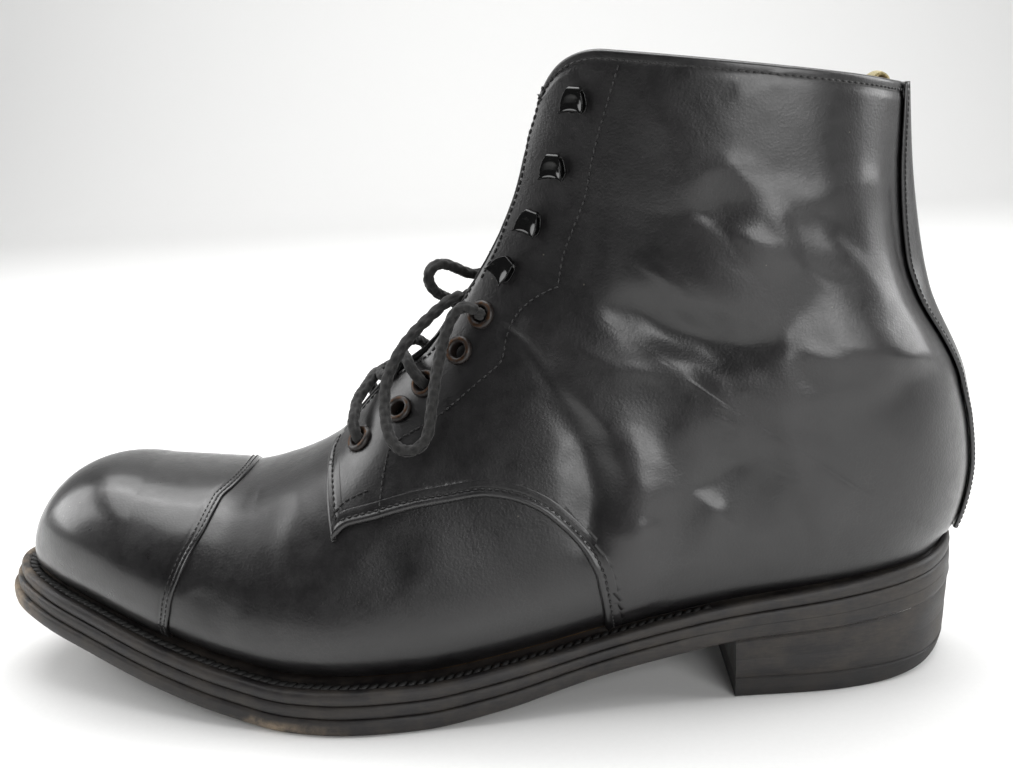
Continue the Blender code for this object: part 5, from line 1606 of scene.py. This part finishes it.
# %% [markdown]
# The lace is a round braid, old and matted. Two strands cross over the tongue and come out of the first
# and third eyelets; the free ends hang as loops, one long over the lateral facing and one short above the
# throat. A braid's strands run in two spirals that pass over and under each other, so the tube's radius
# rises and falls with them.

# %% Lace routes
RouteRow = namedtuple("RouteRow", "section height side out")
CROSSING = (
    RouteRow(5.64, 0.892, -1, -1.6),
    RouteRow(5.64, 0.894, -1, 2.0),
    RouteRow(5.68, 0.93, -1, 4.4),
    RouteRow(5.74, 1.0, -1, 4.6),
    RouteRow(5.85, 1.4, -1, 4.0),
    RouteRow(6.05, 2.0, -1, 3.0),
    RouteRow(6.2, 1.45, 1, 2.4),
    RouteRow(6.38, 1.25, 1, 2.2),
    RouteRow(6.55, 1.5, 1, 2.4),
    RouteRow(6.72, 2.0, -1, 3.0),
    RouteRow(6.9, 1.4, -1, 4.0),
    RouteRow(7.0, 1.0, -1, 4.6),
    RouteRow(7.03, 0.94, -1, 4.4),
    RouteRow(7.04, 0.91, -1, 2.0),
    RouteRow(7.04, 0.908, -1, -1.6),
)
PointRow = namedtuple("PointRow", "x y z")
LATERAL_LOOP = (
    PointRow(8.0, -20.5, 118.0),
    PointRow(5.5, -19.5, 120.0),
    PointRow(2.0, -18.5, 119.0),
    PointRow(-1.0, -19.5, 114.5),
    PointRow(-3.0, -22.0, 108.0),
    PointRow(-4.5, -25.0, 102.5),
    PointRow(-5.5, -28.5, 96.0),
    PointRow(-6.5, -30.5, 90.5),
    PointRow(-7.0, -32.0, 86.0),
    PointRow(-9.0, -33.0, 82.0),
    PointRow(-13.5, -33.5, 80.0),
    PointRow(-17.5, -32.5, 82.0),
    PointRow(-19.5, -30.5, 86.0),
    PointRow(-20.5, -26.0, 91.5),
    PointRow(-20.5, -22.0, 98.0),
    PointRow(-17.5, -18.5, 104.5),
    PointRow(-13.0, -15.0, 110.5),
    PointRow(-7.5, -11.5, 115.0),
    PointRow(-2.5, -9.5, 119.0),
    PointRow(0.5, -8.5, 120.5),
    PointRow(3.0, -7.0, 121.0),
)
MEDIAL_LOOP = (
    PointRow(10.0, 17.5, 124.5),
    PointRow(5.5, 15.0, 123.0),
    PointRow(1.0, 11.0, 126.0),
    PointRow(-3.0, 6.5, 129.0),
    PointRow(-6.5, 3.0, 129.0),
    PointRow(-8.5, 2.0, 125.5),
    PointRow(-7.5, 5.0, 121.0),
    PointRow(-5.0, 10.0, 118.0),
    PointRow(-2.5, 14.5, 116.0),
)
LACE_DIAMETER = 3.6
BRAID_PITCH, BRAID_STRANDS, BRAID_DEPTH = 4.4, 4, 0.26


def even_run(curve, spacing):
    """Points at an even spacing along a fine line, and its length."""
    run = run_along(curve, 0)
    at = np.linspace(0, run[-1], max(12, int(run[-1] / spacing)))
    return np.stack([np.interp(at, run, curve[:, axis]) for axis in range(3)], axis=1), run[-1]


def crossing_line(rows, spacing):
    """Smooth line through the places of a crossing strand."""
    knots = np.array([upper_point(r.section, r.height, r.side)
                      + upper_normal(r.section, r.height, r.side) * r.out for r in rows])
    run = run_along(knots, 0)
    fine = np.linspace(0, run[-1], 1500)
    return even_run(np.stack([Smooth(run, knots[:, axis])(fine) for axis in range(3)], axis=1), spacing)[0]


def loop_line(rows, spacing):
    """Cubic B-spline from the first to the last control point of a free loop, and its length."""
    knots = np.array(rows, float)
    ends = np.concatenate([[2 * knots[0] - knots[1]], knots, [2 * knots[-1] - knots[-2]]])
    t = np.linspace(0, 1, 60, endpoint=False)[:, None]
    weights = ((1 - t) ** 3, 3 * t ** 3 - 6 * t ** 2 + 4, 3 * (t + t ** 2 - t ** 3) + 1, t ** 3)
    spans = [sum(w * ends[k + j] for j, w in enumerate(weights)) / 6 for k in range(len(knots) - 1)]
    return even_run(np.concatenate(spans + [knots[-1:]]), spacing)


def braid(name, lines, around=22):
    """Braided tubes along lines of points, as one mesh."""
    strands = []
    relief = []
    for line in lines:
        reference = Vector((0.3, 1, 0.2))
        rings, heights = [], []
        run = run_along(line, 0)
        angles = np.linspace(0, 2 * math.pi, around, endpoint=False)
        for k in range(len(line)):
            ahead = Vector(line[min(k + 1, len(line) - 1)] - line[max(k - 1, 0)]).normalized()
            across = (reference - ahead * reference.dot(ahead)).normalized()
            reference = across
            up = ahead.cross(across)
            turn = 2 * math.pi * run[k] / BRAID_PITCH
            one = np.cos(BRAID_STRANDS * angles + turn)
            two = np.cos(BRAID_STRANDS * angles - turn)
            swellings = np.maximum(one, two)
            end = min(k, len(line) - 1 - k)
            radius = (LACE_DIAMETER / 2 - BRAID_DEPTH + BRAID_DEPTH * swellings) * min(1.0, 0.55 + 0.25 * end)
            rings.append([Vector(line[k]) + (across * math.cos(a) + up * math.sin(a)) * r
                          for a, r in zip(angles, radius)])
            heights.append((swellings + 1) / 2)
        bm = stack_tube(rings)
        layer = bm.verts.layers.int["station"]
        ring_layer = bm.verts.layers.int["ring"]
        relief += [heights[vert[ring_layer]][vert[layer]] for vert in bm.verts]
        strands.append(bm)
    return finished(name, joined(strands), [LACE], relief)


def stack_tube(rings):
    """Tube through rings, capped at both ends."""
    bm, foot, head = extruded_rings(rings)
    for end in (foot, head):
        bmesh.ops.contextual_create(bm, geom=end)
    bmesh.ops.recalc_face_normals(bm, faces=bm.faces)
    return bm


BRAID_STEP = 0.55
mirrored = tuple(row._replace(side=-row.side) for row in CROSSING)
CROSSINGS = braid("lace_crossing_braid", [crossing_line(rows, BRAID_STEP) for rows in (CROSSING, mirrored)])
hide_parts("lace_crossings")
for node, rows in (("lace_loop_lateral", LATERAL_LOOP), ("lace_loop_medial", MEDIAL_LOOP)):
    line, length = loop_line(rows, BRAID_STEP)
    loop = braid(node + "_braid", [line])
    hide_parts(node)
    path = (line - ORIGIN) * MM
    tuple(path[0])
    print(node, "length in mm:", round(length, 1))

# %% [markdown]
# Between an eyelet and a free loop the lace is held: it comes up through the hole or slips behind the
# facing. These short runs are laid apart from the free loops, and meet their ends.

# %% Held runs of the lace
HELD_RUNS = (
    (PointRow(10.3, -14.0, 115.1), PointRow(9.1, -16.3, 116.2), PointRow(8.4, -18.6, 117.2), LATERAL_LOOP[0]),
    (LATERAL_LOOP[-1], PointRow(6.2, -6.6, 121.0), PointRow(9.5, -8.0, 119.5), PointRow(12.0, -10.0, 118.0)),
    (PointRow(10.0, 14.2, 115.3), PointRow(8.6, 17.4, 116.8), PointRow(8.0, 19.8, 119.2), MEDIAL_LOOP[0]),
    (MEDIAL_LOOP[-1], PointRow(-0.6, 19.2, 112.6), PointRow(1.4, 19.8, 108.4), PointRow(3.2, 14.6, 105.0)),
)
HELD = braid("lace_held_runs", [loop_line(rows, BRAID_STEP)[0] for rows in HELD_RUNS])
print("held runs:", len(HELD_RUNS))

# %% [markdown]
# ## Inside and small pieces
# The insole keeps its solid, with a better finish. The pull loop is cotton tape, bent double and sewn
# inside the back of the collar, so it is a grid along its bend with a thin wall.

# %% Insole and pull loop
TapeRow = namedtuple("TapeRow", "x z")
PULL_LOOP = (TapeRow(122.6, 166.0), TapeRow(123.0, 174.0), TapeRow(124.2, 178.0), TapeRow(126.4, 179.6),
             TapeRow(128.4, 178.0), TapeRow(129.0, 174.0), TapeRow(129.2, 166.0))
TAPE_HALF_WIDTH, TAPE_THICKNESS, TAPE_CUP = 5.0, 0.9, 0.5


def pull_loop():
    at = np.linspace(0, len(PULL_LOOP) - 1, 200)
    x, z = (Smooth(range(len(PULL_LOOP)), column(PULL_LOOP, name))(at) for name in TapeRow._fields)
    run, _ = even_run(np.stack([x, 0 * x, z], axis=1), 0.6)
    across = np.linspace(-1, 1, 13)
    points = np.repeat(run[:, None], len(across), axis=1)
    points[..., 1] = across * TAPE_HALF_WIDTH
    points[..., 2] -= TAPE_CUP * across ** 2
    bm, order = lay_grid(points)
    piece = finished("pull_loop_tape", bm, [TAPE])
    wall = piece.modifiers.new("wall", "SOLIDIFY")
    wall.thickness, wall.offset = TAPE_THICKNESS * MM, 0.0
    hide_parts("pull_loop")
    return piece


LOOP = pull_loop()
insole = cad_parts["insole"]
insole.data.materials.clear()
insole.data.materials.append(INSOLE)
print("pull loop:", len(LOOP.data.polygons), "faces, insole:", insole.data.materials[0].name)

# %% [markdown]
# ## Floor, light and camera
# The boot stands on a white paper sweep. One large soft light above, weaker ones at the toe's and the
# heel's side, a window in front and a wash over the backdrop give the broad highlights. The camera stands
# low on the lateral side, tilted down and rolled a little.

# %% Floor and backdrop
SWEEP_WIDTH, SWEEP_FRONT, SWEEP_BACK, SWEEP_RISE = 5.0, -1.6, 1.3, 2.2
SWEEP_FLAT, SWEEP_DEPTH = 0.6, 0.9
bm = bmesh.new()
bmesh.ops.create_grid(bm, x_segments=2, y_segments=48, size=1.0)
for vert in bm.verts:
    share = (vert.co.y + 1) / 2
    vert.co.x *= SWEEP_WIDTH / 2
    flat = SWEEP_FRONT + (SWEEP_BACK - SWEEP_FRONT) * min(share / SWEEP_FLAT, 1.0)
    bend = max(0.0, share - SWEEP_FLAT) / (1 - SWEEP_FLAT)
    vert.co.y = flat + SWEEP_DEPTH * math.sin(bend * math.pi / 2)
    vert.co.z = SWEEP_RISE * (1 - math.cos(bend * math.pi / 2))
sweep_mesh = bpy.data.meshes.new("paper_sweep")
bm.to_mesh(sweep_mesh)
bm.free()
sweep_mesh.shade_smooth()
PAPER, tree, shader, at = new_finish("white_paper", Roughness=0.6, IOR=1.4)
colour_by(tree, shader, ramp(tree, noise(tree, at, 1.5, 3.0), 0.3, 0.7, ("#ebebea", "#ededec")))
sweep_mesh.materials.append(PAPER)
SWEEP = bpy.data.objects.new("paper_sweep", sweep_mesh)
bpy.context.scene.collection.objects.link(SWEEP)
print("sweep faces:", len(sweep_mesh.polygons))

# %% Lights
LightRow = namedtuple("LightRow", "name place aim width depth power")
LIGHTS = (
    LightRow("overhead_softbox", (0.0, 0.22, 0.95), (0.0, 0.02, 0.05), 1.2, 0.8, 11.0),
    LightRow("toe_side_softbox", (-1.05, 0.15, 0.55), (-0.05, 0.0, 0.06), 0.7, 0.8, 7.5),
    LightRow("heel_side_softbox", (1.05, 0.10, 0.55), (0.1, 0.0, 0.08), 0.7, 0.8, 9.0),
    LightRow("window_softbox", (0.45, -0.85, 0.44), (0.08, 0.0, 0.1), 0.6, 0.5, 5.0),
    LightRow("backdrop_softbox", (0.0, 0.6, 1.6), (0.0, 2.2, 0.5), 2.4, 0.6, 25.0),
)
ROOM_LIGHT = 0.12
for row in LIGHTS:
    lamp = bpy.data.lights.new(row.name, "AREA")
    lamp.shape = "RECTANGLE"
    lamp.size, lamp.size_y, lamp.energy = row.width, row.depth, row.power
    holder = bpy.data.objects.new(row.name, lamp)
    bpy.context.scene.collection.objects.link(holder)
    holder.location = row.place
    holder.rotation_euler = (Vector(row.aim) - Vector(row.place)).to_track_quat("-Z", "Y").to_euler()
world = bpy.data.worlds.new("studio")
world.use_nodes = True
world.node_tree.nodes["Background"].inputs["Color"].default_value = linear("#f2f2f4")
world.node_tree.nodes["Background"].inputs["Strength"].default_value = ROOM_LIGHT
bpy.context.scene.world = world
bpy.context.scene.view_settings.view_transform = "Standard"
print("lights:", len(LIGHTS))

# %% Camera
CAMERA_PLACE = np.array((29.0, -334.4, 177.8))
YAW, PITCH, ROLL = (math.radians(a) for a in (-2.48, 14.57, -3.0))
FOCAL_PIXELS, IMAGE_WIDTH, SENSOR = 1100.0, 1013.0, 36.0
forward = Vector((math.sin(YAW) * math.cos(PITCH), math.cos(YAW) * math.cos(PITCH), -math.sin(PITCH)))
right = Vector((math.cos(YAW), -math.sin(YAW), 0.0))
up = right.cross(forward)
turned_right = right * math.cos(ROLL) + up * math.sin(ROLL)
turned_up = up * math.cos(ROLL) - right * math.sin(ROLL)
camera = bpy.data.cameras.new("camera")
camera.sensor_width = SENSOR
camera.lens = SENSOR * FOCAL_PIXELS / IMAGE_WIDTH
camera.clip_start = 0.01
CAMERA = bpy.data.objects.new("camera", camera)
bpy.context.scene.collection.objects.link(CAMERA)
CAMERA.matrix_world = (Matrix.Translation(Vector((CAMERA_PLACE - ORIGIN) * MM))
                       @ Matrix((turned_right, turned_up, -forward)).transposed().to_4x4())
bpy.context.scene.camera = CAMERA
print("camera lens in mm:", round(camera.lens, 1))
